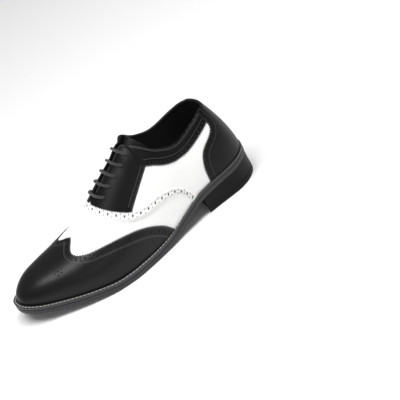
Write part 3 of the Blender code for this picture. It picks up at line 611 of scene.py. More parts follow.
rear_x = even_stations(HEEL_X, THROAT_X, 151)
front_x = even_stations(THROAT_X, TOE_X, 121)[1:]
stations = np.concatenate([rear_x, front_x])
shares = 1 - np.linspace(1, 0, 57) ** 1.25
outer_wall = shell(BASE_DEPTH, stations, shares)
inner_wall = shell(LINING_DEPTH, stations, shares)
around, rows = outer_wall.shape[:2]
index = np.arange(2 * around * rows).reshape(2, around, rows)
index = np.concatenate([index, index[:, :1]], 1)
outer_faces = grid_faces(index[0])
inner_faces = grid_faces(index[1][:, ::-1])
under_faces = grid_faces(index[::-1, :, 0])
gap = len(rear_x)
top_faces = np.concatenate([grid_faces(index[:, :gap, -1]), grid_faces(index[:, around - gap + 1 :, -1])])
faces = np.concatenate([outer_faces, inner_faces, under_faces, top_faces])
points = np.concatenate([outer_wall.reshape(-1, 3), inner_wall.reshape(-1, 3)])
hidden_share = np.tile(shares[:-1], around) > HIDDEN_SHARE
under_black = hidden_share & (points[outer_faces[:, 0], 0] < HIDDEN_X)
lined = np.concatenate([under_black, np.ones(len(inner_faces) + len(under_faces) + len(top_faces))])
upper = make_piece("upper_dressed", points, faces.tolist(), [white_calf, black_lining], 60, lined)
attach(upper, "root")
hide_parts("upper")

# INSOLE
# The insole is a leather board lasted into the shoe, with a black sock glued on. It is seen down the collar
# only.
SOCK_INSET = 3
SOCK_HEIGHT = 2.8
SOCK_DISH = 0.5
SOCK_THICKNESS = 2.4


def sock_grid(drop):
    """Grid over the foot line drawn in by the wall, slightly dished at the heel, at a drop under its top."""
    x = even_stations(HEEL_X + SOCK_INSET, TOE_X - SOCK_INSET, 81)
    across = np.linspace(-1, 1, 17)
    inset = curve(x, FOOT_LINE, "x", "inset") + LINING_DEPTH + 0.2
    half = half_width(x, inset, HEEL_X + SOCK_INSET, LENGTH - TOE_X + SOCK_INSET)
    y = centre_line(x)[:, None] + across * half[:, None]
    z = welt_top(x)[:, None] + SOCK_HEIGHT - drop + SOCK_DISH * across**2
    return np.stack(np.broadcast_arrays(x[:, None], y, z), -1)


def sheet_body(name, layers, materials):
    """Closed body from a stack of grids of one size: the first gives its upper face, the last its lower face,
    and the rims of all of them its edge."""
    count, rows = layers[0].shape[:2]
    rim = lambda g: np.concatenate([g[0, :-1], g[:-1, -1], g[-1, :0:-1], g[:0:-1, 0]])
    index = np.arange(2 * count * rows).reshape(2, count, rows)
    around = len(rim(index[0]))
    between = 2 * count * rows + np.arange((len(layers) - 2) * around).reshape(-1, around)
    rims = np.concatenate([rim(index[0])[None], between, rim(index[1])[None]])
    faces = grid_faces(index[0]).tolist() + grid_faces(index[1][:, ::-1]).tolist()
    faces += grid_faces(np.hstack([rims, rims[:, :1]])[::-1]).tolist()
    points = [layers[0].reshape(-1, 3), layers[-1].reshape(-1, 3)] + [rim(g) for g in layers[1:-1]]
    points = np.concatenate(points)
    return make_piece(name, points, outward(points, faces), materials)


sock_leather = lining_leather("black_sock_leather", "1c1c1d")
insole = sheet_body("insole_dressed", [sock_grid(0.0), sock_grid(SOCK_THICKNESS)], [sock_leather])
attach(insole, "root")
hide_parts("insole")

# VAMP BAND
# A white calf band laid across the throat and down both sides. Its upper edge is gimped (cut in small teeth),
# it is punched with a row of large holes with pairs of small ones between, and stitched along both edges.
VAMP_BAND = (
    "length_share upper_x upper_share lower_x lower_share",
    (0.0, 171.8, 1.0, 177.4, 1.0),
    (0.08, 170.6, 0.9, 176.6, 0.86),
    (0.16, 167.8, 0.81, 173.4, 0.76),
    (0.25, 163.0, 0.71, 168.3, 0.66),
    (0.34, 157.0, 0.62, 161.6, 0.555),
    (0.44, 147.4, 0.515, 152.0, 0.44),
    (0.54, 133.0, 0.438, 137.5, 0.365),
    (0.66, 116.0, 0.39, 118.0, 0.303),
    (0.78, 100.5, 0.40, 101.5, 0.30),
    (0.86, 91.8, 0.375, 94.4, 0.27),
    (0.93, 84.0, 0.24, 89.0, 0.185),
    (1.0, 77.0, 0.0, 84.4, 0.0),
)
TOOTH_PITCH = 2.7
TOOTH_DEPTH = 1.5
CORNER_X = 126
CORNER_REACH = 12
PATTERN_HEIGHT = 38
PATTERN_SHARE = 0.7


def run_along(height, share):
    """Running length along the outer skin at a height up its ribs, or at a share of the short ribs."""
    part = np.minimum(height / np.maximum(OUTER[3], 1e-6), share) * (ROWS - 1)
    low = np.clip(part.astype(int), 0, ROWS - 2)
    rib = np.arange(RIBS)
    mix = (part - low)[:, None]
    return run_of(OUTER[1][rib, low] * (1 - mix) + OUTER[1][rib, low + 1] * mix)


def full_length(x, side):
    """Girth from the foot line to the ridge, over the half gap too. Behind the collar's corner it goes on at
    the slope there."""
    ridge = lambda x: rib_length(x, side) + curve(x, LAST_SECTIONS, "x", "cut_outer")
    slope = (ridge(CORNER_X) - ridge(CORNER_X + CORNER_REACH)) / CORNER_REACH
    return ridge(np.maximum(x, CORNER_X)) + slope * np.maximum(CORNER_X - x, 0)


CHART_X = run_along(PATTERN_HEIGHT, PATTERN_SHARE)


def to_chart(x, share, side):
    """Flat pattern of the front: length along the last, and girth from the ridge, positive on the outer side.
    Behind the collar's corner the girth is still measured from where the gap's edge would run."""
    x, share, side = np.broadcast_arrays(np.asarray(x, float), share, side)
    girth = full_length(x, side) - share * rib_length(x, side)
    return np.stack([np.interp(x, RIB_X, CHART_X), side * girth], -1)


def from_chart(chart):
    """The x, share and side of points of the front's flat pattern."""
    x = np.interp(chart[:, 0], CHART_X, RIB_X)
    side = np.where(chart[:, 1] >= 0, 1.0, -1.0)
    up = full_length(x, side) - np.abs(chart[:, 1])
    return x, np.clip(up / np.maximum(rib_length(x, side), 1e-6), 0, 1), side


PATH_SPACING = 0.4


def even_path(points):
    """Points at an even spacing along a path, by its running length."""
    run = run_of(points)
    return read_at(points, run, np.linspace(0, run[-1], max(int(run[-1] / PATH_SPACING), 2) + 1))


def beside(path, distance):
    """The path moved sideways: to its left for a positive distance."""
    return path + left_of(unit(np.gradient(path, axis=0))) * distance


def gimped(path, left, pitch=TOOTH_PITCH):
    """The path with small teeth: points at half the pitch, every other one set in by the tooth's depth."""
    run = run_of(path)
    at = np.linspace(0, 1, 2 * max(round(run[-1] / pitch), 1) + 1)
    points = read_at(path, run / run[-1], at)
    inset = np.where(np.arange(len(at)) % 2 == 1, TOOTH_DEPTH, 0.0)[:, None]
    return points + left_of(unit(np.gradient(points, axis=0))) * inset * (1 if left else -1)


def within(points, polygon):
    """Whether each point is inside a polygon: a line to one side crosses its edges an odd number of times."""
    inside = np.zeros(len(points), bool)
    a, b = polygon, np.roll(polygon, -1, 0)
    for part in np.array_split(np.arange(len(points)), max(len(points) // 4000, 1)):
        x, y = points[part, 0][:, None], points[part, 1][:, None]
        spans = (a[:, 1] > y) != (b[:, 1] > y)
        rise = np.where(b[:, 1] == a[:, 1], 1, b[:, 1] - a[:, 1])
        inside[part] = ((x < (b[:, 0] - a[:, 0]) * (y - a[:, 1]) / rise + a[:, 0]) & spans).sum(1) % 2 == 1
    return inside


def far_from(points, others, distance):
    """Whether each point is farther than a distance from all the others."""
    keep = np.ones(len(points), bool)
    for part in np.array_split(np.arange(len(points)), max(len(points) // 1000, 1)):
        gaps = np.linalg.norm(points[part][:, None] - others[None], axis=2).min(1)
        keep[part] = gaps > distance
    return keep


HOLE_FLOOR = 0.75
HOLE_SIDES = 16
HOLE_RINGS = (0.18, 0.55)
RIM_INSET = 0.35
RIM_DROP = 0.2


def flat_panel(outline, holes, spacing):
    """Corners and triangles that fill an outline but for its holes, with the rings' points and starts, and
    each corner's place in them. A ring lies close inside every rim, and even triangles between them."""
    inner_ring = outline + left_of(unit(np.roll(outline, -1, 0) - np.roll(outline, 1, 0))) * RIM_INSET
    turn = np.linspace(0, 2 * np.pi, HOLE_SIDES + 1)[:-1]
    circle = np.stack([np.cos(turn), -np.sin(turn)], 1)
    centres = np.array([centre for centre, _ in holes])
    radii = np.array([radius for _, radius in holes])
    rings = np.concatenate([outline, (centres[:, None] + circle * radii[:, None, None]).reshape(-1, 2)])
    starts = np.concatenate([[0], len(outline) + HOLE_SIDES * np.arange(len(holes) + 1)])
    edges = [(s + k, s + (k + 1) % (e - s)) for s, e in zip(starts[:-1], starts[1:]) for k in range(e - s)]
    soft = [inner_ring[within(inner_ring, outline)]]
    for wider in HOLE_RINGS:
        soft.append((centres[:, None] + circle[None] * (radii[:, None, None] + wider)).reshape(-1, 2))
    soft = np.concatenate(soft)
    soft = soft[within(soft, outline)]
    low, high = outline.min(0), outline.max(0)
    x, y = np.meshgrid(np.arange(low[0], high[0], spacing), np.arange(low[1], high[1], spacing * 0.87))
    x = x + (np.arange(len(y)) % 2)[:, None] * spacing * 0.5
    lattice = np.stack([x.ravel(), y.ravel()], 1)
    lattice = lattice[within(lattice, outline)]
    lattice = lattice[far_from(lattice, np.concatenate([rings, soft]), spacing * 0.55)]
    flat = np.concatenate([rings, soft, lattice])
    result = delaunay_2d_cdt(flat.tolist(), [(int(a), int(b)) for a, b in edges], [], 0, 1e-6)
    corners = np.array([list(v) for v in result[0]])
    triangles = np.array(result[2])
    place = np.array([o[0] if len(o) else -1 for o in result[3]])
    middle = corners[triangles].mean(1)
    in_hole = (np.linalg.norm(middle[:, None] - centres[None], axis=2) <= radii[None] * 0.9).any(1)
    return corners, triangles[within(middle, outline) & ~in_hole], rings, starts, place


def leather_panel(name, outline, holes, place, depth, leather, spacing, drop=BASE_DEPTH + 0.1):
    """Panel cut to an outline in a flat pattern, punched, and laid on the last. Its rim and its holes' rims
    are rounded: the outer ring lies lower than the ring inside it. Walls go down to the layer below, and each
    hole has a dark floor."""
    outline = outline if np.cross(outline, np.roll(outline, -1, 0)).sum() > 0 else outline[::-1]
    corners, triangles, rings, starts, order = flat_panel(outline, holes, spacing)
    on_edge = (order >= 0) & (order < len(rings))
    top, _ = skin(*place(corners), depth + np.where(on_edge, RIM_DROP, 0.0))
    in_hole = np.arange(len(rings)) >= len(outline)
    bottom, _ = skin(*place(rings), np.where(in_hole, min(drop, HOLE_FLOOR), drop))
    upper_ring = np.full(len(rings), -1)
    upper_ring[order[on_edge]] = np.flatnonzero(on_edge)
    faces = triangles.tolist()
    kinds = [0] * len(faces)
    first = len(top)
    for k, (s, e) in enumerate(zip(starts[:-1], starts[1:])):
        loop = np.arange(s, e)
        after = np.roll(loop, -1)
        faces += np.stack([upper_ring[after], upper_ring[loop], first + loop, first + after], 1).tolist()
        kinds += [min(k, 1)] * len(loop)
        if k > 0:
            faces.append((first + loop[::-1]).tolist())
            kinds.append(1)
    return make_piece(name, np.concatenate([top, bottom]), faces, [leather, punched_dark], 50, kinds)


punched_dark = lining_leather("punched_hole_backing", "0b0b0c")


def table_path(table, x_name, share_name, key, side, chart, count=400):
    """Path in a flat pattern through a table's rows, each coordinate a smooth function of the key column."""
    names = table[0].split()
    rows = np.array(table[1:], float)
    keys = rows[:, names.index(key)]
    flat = chart(rows[:, names.index(x_name)], rows[:, names.index(share_name)], side)
    at = np.linspace(keys[0], keys[-1], count)
    path = [curve(at, ("key place", *zip(keys, flat[:, k])), "key", "place") for k in (0, 1)]
    return even_path(np.stack(path, 1))


PAIR_SPREAD = 1.55
STITCH_SHARE = 0.72
STITCH_HEIGHT = 0.4


def hole_row(path, pitch, radius, start, small=0.0):
    """Holes at an even pitch along a path, with a pair of small ones across it between each two."""
    big, _ = evenly(path, pitch, start)
    holes = [(c, radius) for c in big]
    if small:
        between, along = evenly(path, pitch, start + pitch / 2)
        pairs = [(c - PAIR_SPREAD * a, c + PAIR_SPREAD * a) for c, a in zip(between, left_of(along))]
        holes += [(centre, small) for pair in pairs for centre in pair]
    return holes


def stitch_row(name, paths, place, depth, pitch, thread, width=0.5):
    """Lockstitches along paths of a flat pattern, half sunk in the leather."""
    centres, directions, outs = [], [], []
    for path in paths:
        at, along = evenly(path, pitch, pitch / 2)
        here, out = skin(*place(at), depth + 0.02)
        ahead, _ = skin(*place(at + along * 0.5), depth + 0.02)
        centres.append(here)
        directions.append(unit(ahead - here))
        outs.append(out)
    centres, directions, outs = (np.concatenate(parts) for parts in (centres, directions, outs))
    piece = stitches(name, centres, directions, outs, (pitch * STITCH_SHARE, width, STITCH_HEIGHT), thread)
    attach(piece, "root")
    return piece


BAND_DEPTH = -0.1
BAND_HOLES = {"pitch": 11.0, "radius": 1.15, "start": 5.5, "small": 0.55}
BAND_ROWS = ((1.7, 2.7), (-0.9, -1.9))
band_edges = []
for x_name, share_name in (("upper_x", "upper_share"), ("lower_x", "lower_share")):
    halves = [table_path(VAMP_BAND, x_name, share_name, "length_share", s, to_chart) for s in (1.0, -1.0)]
    band_edges.append(even_path(np.concatenate([halves[0][::-1], halves[1][1:]])))
top_edge, low_edge = band_edges
outline = np.concatenate([gimped(top_edge, left=True), low_edge[::-3]])
whole = np.linspace(0, 1, 800)
level = [read_at(path, np.linspace(0, 1, len(path)), whole) for path in band_edges]
band_holes = hole_row(even_path((level[0] + level[1]) / 2), **BAND_HOLES)
vamp_band = leather_panel("vamp_band_dressed", outline, band_holes, from_chart, BAND_DEPTH, white_calf, 1.6)
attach(vamp_band, "root")
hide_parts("vamp_band")
grey_thread = spun_thread("grey_vamp_thread", "b0b0ae")
band_rows = [beside(edge, away) for edge, rows in zip(band_edges, BAND_ROWS) for away in rows]
band_stitches = stitch_row("vamp_band_stitches", band_rows, from_chart, BAND_DEPTH, 1.5, grey_thread, 0.42)

# WING CAP
# The wing cap is black calf over the toe. Its gimped edge has a point on the ridge and sweeps back along both
# sides. A band of holes follows the edge between stitch rows, with a punched medallion ahead.
WING_EDGE = (
    "height_share x",
    (0.0, 115.0),
    (0.138, 124.8),
    (0.236, 136.2),
    (0.314, 148.5),
    (0.378, 161.5),
    (0.432, 174.8),
    (0.486, 188.0),
    (0.572, 208.1),
    (0.648, 215.4),
    (0.715, 216.8),
    (0.84, 213.1),
    (0.93, 208.4),
    (1.0, 206.0),
)
WING_EDGE_INNER = (
    "height_share x",
    (0.0, 113.0),
    (0.11, 121.0),
    (0.26, 138.0),
    (0.38, 157.0),
    (0.47, 175.0),
    (0.54, 190.5),
    (0.60, 199.5),
    (0.64, 205.5),
    (0.68, 211.5),
    (0.72, 214.8),
    (0.77, 215.0),
    (0.84, 213.1),
    (0.93, 208.4),
    (1.0, 206.0),
)
MEDALLION_X = 240
MEDALLION_ROSES = (
    (0, 0),
    (-1.5, 12.5),
    (-1.5, -12.5),
    (-1, 24.5),
    (-1, -24.5),
    (12.5, 0),
    (-13, 0),
    (9, 9.5),
    (9, -9.5),
)
ROSE_RADIUS = 4.7
ROSE_HOLE = 1.0
PETAL_HOLE = 0.62
WING_DEPTH = 0.0
WING_TOOTH_PITCH = 3.1
WING_HOLES_IN = 5.0
WING_HOLES = {"pitch": 11.0, "radius": 1.2, "start": 6.5, "small": 0.6}
WING_ROWS = (1.8, 8.2, 9.2)
outer_wing = table_path(WING_EDGE, "x", "height_share", "height_share", 1.0, to_chart)
inner_wing = table_path(WING_EDGE_INNER, "x", "height_share", "height_share", -1.0, to_chart)[::-1]
toothed = [gimped(wing, left=True, pitch=WING_TOOTH_PITCH) for wing in (outer_wing, inner_wing)]
toothed = np.concatenate([toothed[0][:-1], toothed[1]])
(_, outer_start), (_, inner_start) = WING_EDGE[1], WING_EDGE_INNER[1]
foot_outer = to_chart(even_stations(outer_start, TOE_X, 110), 0.0, 1.0)
foot_inner = to_chart(even_stations(inner_start, TOE_X, 110), 0.0, -1.0)
outline = np.concatenate([toothed, foot_inner[1:-1], foot_outer[:0:-1]])
wing_holes = []
for path in (outer_wing, inner_wing):
    wing_holes += hole_row(beside(path, WING_HOLES_IN), **WING_HOLES)
centre_chart = to_chart(MEDALLION_X, 1.0, 1.0)
petals = np.linspace(0, 2 * np.pi, 7)[:-1]
petals = ROSE_RADIUS * np.stack([np.cos(petals), np.sin(petals)], 1)
for rose in MEDALLION_ROSES:
    wing_holes.append((centre_chart + rose, ROSE_HOLE))
    wing_holes += [(centre_chart + rose + petal, PETAL_HOLE) for petal in petals]
wing_cap = leather_panel("wing_cap_dressed", outline, wing_holes, from_chart, WING_DEPTH, polished_calf, 1.7)
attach(wing_cap, "root")
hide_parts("wing_cap")
# Black thread coloured mid grey: the grey is a painted highlight along the stitch rows on the black panels.
black_thread_painted_highlight = spun_thread("grey_painted_highlight_on_black_thread", "48484a")
wing_rows = [beside(path, away) for path in (outer_wing, inner_wing) for away in WING_ROWS]
wing_stitches = stitch_row("wing_cap_stitches", wing_rows, from_chart, WING_DEPTH, 1.6, black_thread_painted_highlight)

# FACINGS
# Each facing is black calf beside the lacing gap, folded at the gap, with five punched lace holes without
# eyelets. Its straight back edge has a punched band between stitch rows. The vamp band laps over its front.
FACING_BACK = (
    "length_share x height_share",
    (0.0, 144.2, 0.505),
    (0.17, 138.2, 0.535),
    (0.33, 132.2, 0.562),
    (0.5, 126.0, 0.585),
    (0.67, 120.0, 0.602),
    (0.83, 113.8, 0.628),
    (1.0, 108.0, 0.725),
)
COLLAR_SEAM_X = 108.1
FACING_FRONT_X = 170.2
FACING_DEPTH = 0.3
EYELET_ROWS = 5
EYELET_FIRST_X = 115.6
EYELET_STEP = 10.8
EYELET_FROM_EDGE = 15.5
EYELET_INNER_SHIFT = 1
EYELET_RADIUS = 1.8
FRONT_LAP = (2.6, -0.015)
FRONT_LAP_X = 3
SEAM_SHARE = 0.705
FACING_DROP = 2.9
FACING_HOLES_IN = 3.6
FACING_HOLES = {"pitch": 4.2, "radius": 0.62, "start": 3.0}
FACING_ROWS = (1.2, 2.1, 5.2, 6.1)
GAP_ROWS = (2.0, 3.2)


def eyelet_chart(row, side):
    """Place of an eyelet in the flat pattern: row 0 is at the collar."""
    x = EYELET_FIRST_X + row * EYELET_STEP + (side < 0) * EYELET_INNER_SHIFT
    return to_chart(x, 1.0, side) + np.array([0.0, side * EYELET_FROM_EDGE])


for side, name in ((1.0, "facing_lateral"), (-1.0, "facing_medial")):
    share_of_band = np.linspace(0.02, 0.47, 60)
    front_x = curve(share_of_band, VAMP_BAND, "length_share", "upper_x") + FRONT_LAP[0]
    front_share = curve(share_of_band, VAMP_BAND, "length_share", "upper_share") + FRONT_LAP[1]
    front = even_path(to_chart(np.minimum(front_x, FACING_FRONT_X + FRONT_LAP_X), front_share, side))
    back = table_path(FACING_BACK, "x", "height_share", "length_share", side, to_chart)
    seam = to_chart(np.full(12, COLLAR_SEAM_X), np.linspace(SEAM_SHARE, 1.0, 12), side)
    gap_edge = to_chart(np.linspace(COLLAR_SEAM_X, FACING_FRONT_X, 60), 1.0, side)
    outline = np.concatenate([gap_edge[1:], front[::2], back[::2], seam[1:]])
    holes = [(eyelet_chart(row, side), EYELET_RADIUS) for row in range(EYELET_ROWS)]
    holes += hole_row(beside(back, FACING_HOLES_IN * side), **FACING_HOLES)
    cut = (name + "_dressed", outline, holes, from_chart, FACING_DEPTH, black_calf, 1.6)
    facing = leather_panel(*cut, drop=FACING_DROP)
    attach(facing, "root")
    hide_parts(name)
    rows = [beside(back, away * side) for away in FACING_ROWS]
    rows += [gap_edge[3:-8] + np.array([0, side * away]) for away in GAP_ROWS]
    piece = stitch_row(name + "_stitches", rows, from_chart, FACING_DEPTH, 1.7, black_thread_painted_highlight)

# COLLAR BANDS
# Each collar band is black calf along the topline, folded over the edge to the lining. Two close rows of
# stitches run under the bead, and its gimped lower edge has a row of holes between two more rows.
COLLAR_EDGE = (
    "x height_share",
    (20.0, 0.77),
    (25.3, 0.765),
    (32.9, 0.757),
    (41.4, 0.742),
    (52.7, 0.726),
    (63.5, 0.72),
    (76.6, 0.717),
    (84.6, 0.713),
    (92.9, 0.72),
    (101.4, 0.72),
    (108.1, 0.71),
)
COLLAR_DEPTH = 0.4
COLLAR_TOP_X = (20, 111)
UNDERLAP = 2.5
REAR_SHARE = 0.75
COLLAR_HOLES_IN = 4.4
COLLAR_HOLES = {"pitch": 5.6, "radius": 0.9, "start": 3.0}
COLLAR_ROWS = (1.7, 7.6)
TOPLINE_ROWS = (2.2, 3.4)
REAR_X = run_of(OUTER[1][:, int(REAR_SHARE * ROWS)])


def to_rear_chart(x, share, side):
    """Flat pattern of the back: length round the heel, positive on the outer side, and height up the rib."""
    x, share, side = np.broadcast_arrays(np.asarray(x, float), share, side)
    return np.stack([side * np.interp(x, RIB_X, REAR_X), share * rib_length(x, side)], -1)


def from_rear_chart(chart):
    """The x, share and side of points of the back's flat pattern."""
    x = np.interp(np.abs(chart[:, 0]), REAR_X, RIB_X)
    side = np.where(chart[:, 0] >= 0, 1.0, -1.0)
    return x, np.clip(chart[:, 1] / rib_length(x, side), 0, 1), side


for side, name in ((1.0, "collar_band_lateral"), (-1.0, "collar_band_medial")):
    low = table_path(COLLAR_EDGE, "x", "height_share", "x", side, to_rear_chart)[::-1]
    low = np.concatenate([low[:1] + (low[:1] - low[3:4]) * UNDERLAP, low])
    top = to_rear_chart(np.linspace(*COLLAR_TOP_X, 110), 1.0, side)
    outline = np.concatenate([gimped(low, left=side < 0), top])
    holes = hole_row(beside(low, -side * COLLAR_HOLES_IN), **COLLAR_HOLES)
    collar = leather_panel(name + "_dressed", outline, holes, from_rear_chart, COLLAR_DEPTH, black_calf, 1.6)
    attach(collar, "root")
    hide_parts(name)
    rows = [beside(low, -side * away) for away in COLLAR_ROWS]
    rows += [top - np.array([0, away]) for away in TOPLINE_ROWS]
    piece = stitch_row(name + "_stitches", rows, from_rear_chart, COLLAR_DEPTH, 1.6, black_thread_painted_highlight)

# HEEL COUNTER
# The counter is black calf round the heel, from the topline to the welt, over the collar bands' ends. Its
# gimped front edges have a row of holes between stitch rows.
COUNTER_EDGE = (
    "height_share x",
    (0.0, 57.4),
    (0.23, 56.9),
    (0.35, 55.3),
    (0.46, 52.3),
    (0.53, 48.9),
    (0.58, 43.4),
    (0.64, 32.7),
    (0.68, 26.8),
    (0.74, 24.4),
    (0.84, 25.0),
    (1.0, 25.6),
)
COUNTER_DEPTH = 0.1
COUNTER_HOLES_IN = 4.6
COUNTER_HOLES = {"pitch": 5.6, "radius": 0.95, "start": 4.0}
COUNTER_ROWS = (1.7, 7.8)
edges, counter_holes, counter_rows = {}, [], []
for side in (1.0, -1.0):
    edges[side] = table_path(COUNTER_EDGE, "x", "height_share", "height_share", side, to_rear_chart)
    counter_holes += hole_row(beside(edges[side], side * COUNTER_HOLES_IN), **COUNTER_HOLES)[:-1]
    counter_rows += [beside(edges[side], side * away) for away in COUNTER_ROWS]
back_x = even_stations(HEEL_X, COUNTER_EDGE[-1][1], 40)
top = np.concatenate([to_rear_chart(back_x[::-1], 1.0, 1.0), to_rear_chart(back_x[1:], 1.0, -1.0)])
foot_x = even_stations(HEEL_X, COUNTER_EDGE[1][1], 40)
foot = np.concatenate([to_rear_chart(foot_x[::-1], 0.0, -1.0), to_rear_chart(foot_x[1:], 0.0, 1.0)])
outline = [gimped(edges[1.0], True), top[1:-1], gimped(edges[-1.0], False)[::-1], foot[1:-1]]
cut = (np.concatenate(outline), counter_holes, from_rear_chart, COUNTER_DEPTH, black_calf, 1.7)
counter = leather_panel("heel_counter_dressed", *cut)
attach(counter, "root")
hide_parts("heel_counter")
sewn = (counter_rows, from_rear_chart, COUNTER_DEPTH, 1.6, black_thread_painted_highlight)
counter_stitches = stitch_row("heel_counter_stitches", *sewn)

# TONGUE
# The tongue is soft black calf, cut in one piece and stitched in at the throat. It lies arched under the
# facings, and its top edge stands up above them.
TONGUE_LINE = (
    "x height roundness half_girth",
    (114, 105.1, 1.8, 18.5),
    (130, 93.8, 1.95, 22.5),
    (150, 82.2, 1.95, 23.0),
    (166, 71.2, 1.9, 21.0),
    (176, 64.5, 1.9, 18.0),
)
TONGUE_BEND_X = 114
TONGUE_FRONT_X = 176
TONGUE_SIDE_CLEARANCE = 8
TONGUE_TOP = (102.5, 18.5, 113.7)
TONGUE_TOP_FALL = (8.5, 13.5)
TONGUE_TOP_POWER = 1.6
TONGUE_LAYERS = ((0.0, 0.35), (0.35, 0.0), (1.45, 0.0), (1.8, 0.35))


def tongue_arch(x, across):
    """Points of the tongue under the facings: at each x an arch of its own height, followed for a girth."""
    side = np.where(across < 0, -1.0, 1.0) * np.ones_like(x)
    girth = np.abs(across) * curve(x, TONGUE_LINE, "x", "half_girth")
    height = curve(x, TONGUE_LINE, "x", "height")
    power = 2 / curve(x, TONGUE_LINE, "x", "roundness")[..., None]
    middle = curve(x, LAST_SECTIONS, "x", "middle")[..., None]
    foot = np.where(side[..., None] > 0, foot_point(x, 1), foot_point(x, -1))
    foot_y = foot[..., 1:2] - side[..., None] * TONGUE_SIDE_CLEARANCE
    angle = np.linspace(np.pi / 2, 0, 161)
    y = foot_y + (middle - foot_y) * (1 - np.cos(angle) ** power)
    z = foot[..., 2:] + (height[..., None] - foot[..., 2:]) * np.sin(angle) ** power
    run = np.cumsum(np.hypot(np.diff(y, axis=-1), np.diff(z, axis=-1)), -1)
    run = np.concatenate([np.zeros(x.shape + (1,)), run], -1)
    i = np.clip((run < girth[..., None]).sum(-1) - 1, 0, 159)[..., None]
    both = lambda line: (np.take_along_axis(line, i, -1), np.take_along_axis(line, i + 1, -1))
    low, high = both(run)
    part = (girth[..., None] - low) / (high - low)
    y, z = [((1 - part) * a + part * b)[..., 0] for a, b in (both(y), both(z))]
    return np.stack([x, y, z], -1)


def tongue_grid(drop, trim):
    """Grid of the tongue at a drop under its face, its rim drawn in by a trim. Behind the bend it runs on
    straight to its top edge, which falls and goes back from its middle as a power of the width."""
    across = np.linspace(-1, 1, 61)[None]
    x = np.linspace(TONGUE_BEND_X, TONGUE_FRONT_X, 71)[:, None] * np.ones_like(across)
    under = tongue_arch(x, across * np.ones_like(x))
    (top_x, half, top_z), (fall_x, fall_z) = TONGUE_TOP, TONGUE_TOP_FALL
    fall = np.abs(across) ** TONGUE_TOP_POWER
    edge = np.stack([top_x - fall_x * fall, half * across, top_z - fall_z * fall], -1)
    free = np.linspace(0, 1, 25)[:-1, None, None]
    face = np.concatenate([edge + (under[:1] - edge) * free, under])
    normal = unit(np.cross(np.gradient(face, axis=1), np.gradient(face, axis=0)))
    normal *= np.where(normal[..., 2:] < 0, -1, 1)
    for axis, ends in ((0, (0, -1)), (1, (0, -1))):
        rows = np.moveaxis(face, axis, 0)
        for end, near in zip(ends, (1, -2)):
            rows[end] += trim * unit(rows[near] - rows[end])
    return face - normal * drop


tongue = sheet_body("tongue_dressed", [tongue_grid(*layer) for layer in TONGUE_LAYERS], [black_calf])
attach(tongue, "root")
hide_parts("tongue")

# LACE
# The lace is one round waxed cotton cord in five straight bars. Each bar comes up through one facing's hole,
# crosses the gap and goes down through the other's.
LACE_RADIUS = 1.55
LACE_BEND = 2.2
LACE_BOW = 4.6
LACE_SPAN = 3.6
LACE_RINGS = 90
LACE_SIDES = 14
LACE_CLEARANCE = 0.1
LACE_SUNK = (3.2, 2.0, 1.0)
LACE_TURN = (0, 20, 40, 60, 75)
LACE_SMOOTHING = 8
BRAID_STEP = (0.45, 0.6)


def tube(path, radius, sides):
    """Points and faces of a closed round tube along a path, its ring carried along without a twist."""
    along = unit(np.gradient(path, axis=0))
    across = np.zeros_like(path)
    across[0] = unit(np.cross(along[0], [1.0, 0.0, 0.0]))
    for i in range(1, len(path)):
        across[i] = unit(across[i - 1] - along[i] * np.dot(across[i - 1], along[i]))
    turn = np.linspace(0, 2 * np.pi, sides + 1)[:-1][None, :, None]
    rings = np.cos(turn) * across[:, None] + np.sin(turn) * np.cross(along, across)[:, None]
    rings = path[:, None] + radius * rings
    index = np.arange(len(path) * sides).reshape(len(path), sides)
    faces = grid_faces(np.hstack([index, index[:, :1]])).tolist()
    faces += [index[0].tolist(), index[-1][::-1].tolist()]
    return rings.reshape(-1, 3), faces


def braided_cotton(name, colour):
    """Braided waxed cotton: 1.1 mm diagonal plaits along the tube's length and girth, with a faint sheen."""
    sockets = {"Base_Color": srgb(colour), "Roughness": 0.6, "Sheen_Weight": 0.25}
    material, tree, shader, place = start_material(name, **sockets)
    both = add_node(tree, "ShaderNodeMath", {"operation": "MAXIMUM"})
    for k, way in enumerate((1.0, -1.0)):
        values = {"Scale": (5.5, way * 4.0, 1.0), "Rotation": (0.0, 0.0, way * 0.785)}
        turned = add_node(tree, "ShaderNodeMapping", None, values, {"Vector": (place, "UV")})
        values = {"Scale": 1.2, "Distortion": 0.0}
        wave = add_node(tree, "ShaderNodeTexWave", None, values, {"Vector": (turned, "Vector")})
        tree.links.new(wave.outputs["Fac"], both.inputs[k])
    bump = add_bump(tree, both, 0.5, 0.0003)
    tree.links.new(bump.outputs["Normal"], shader.inputs["Normal"])
    return material


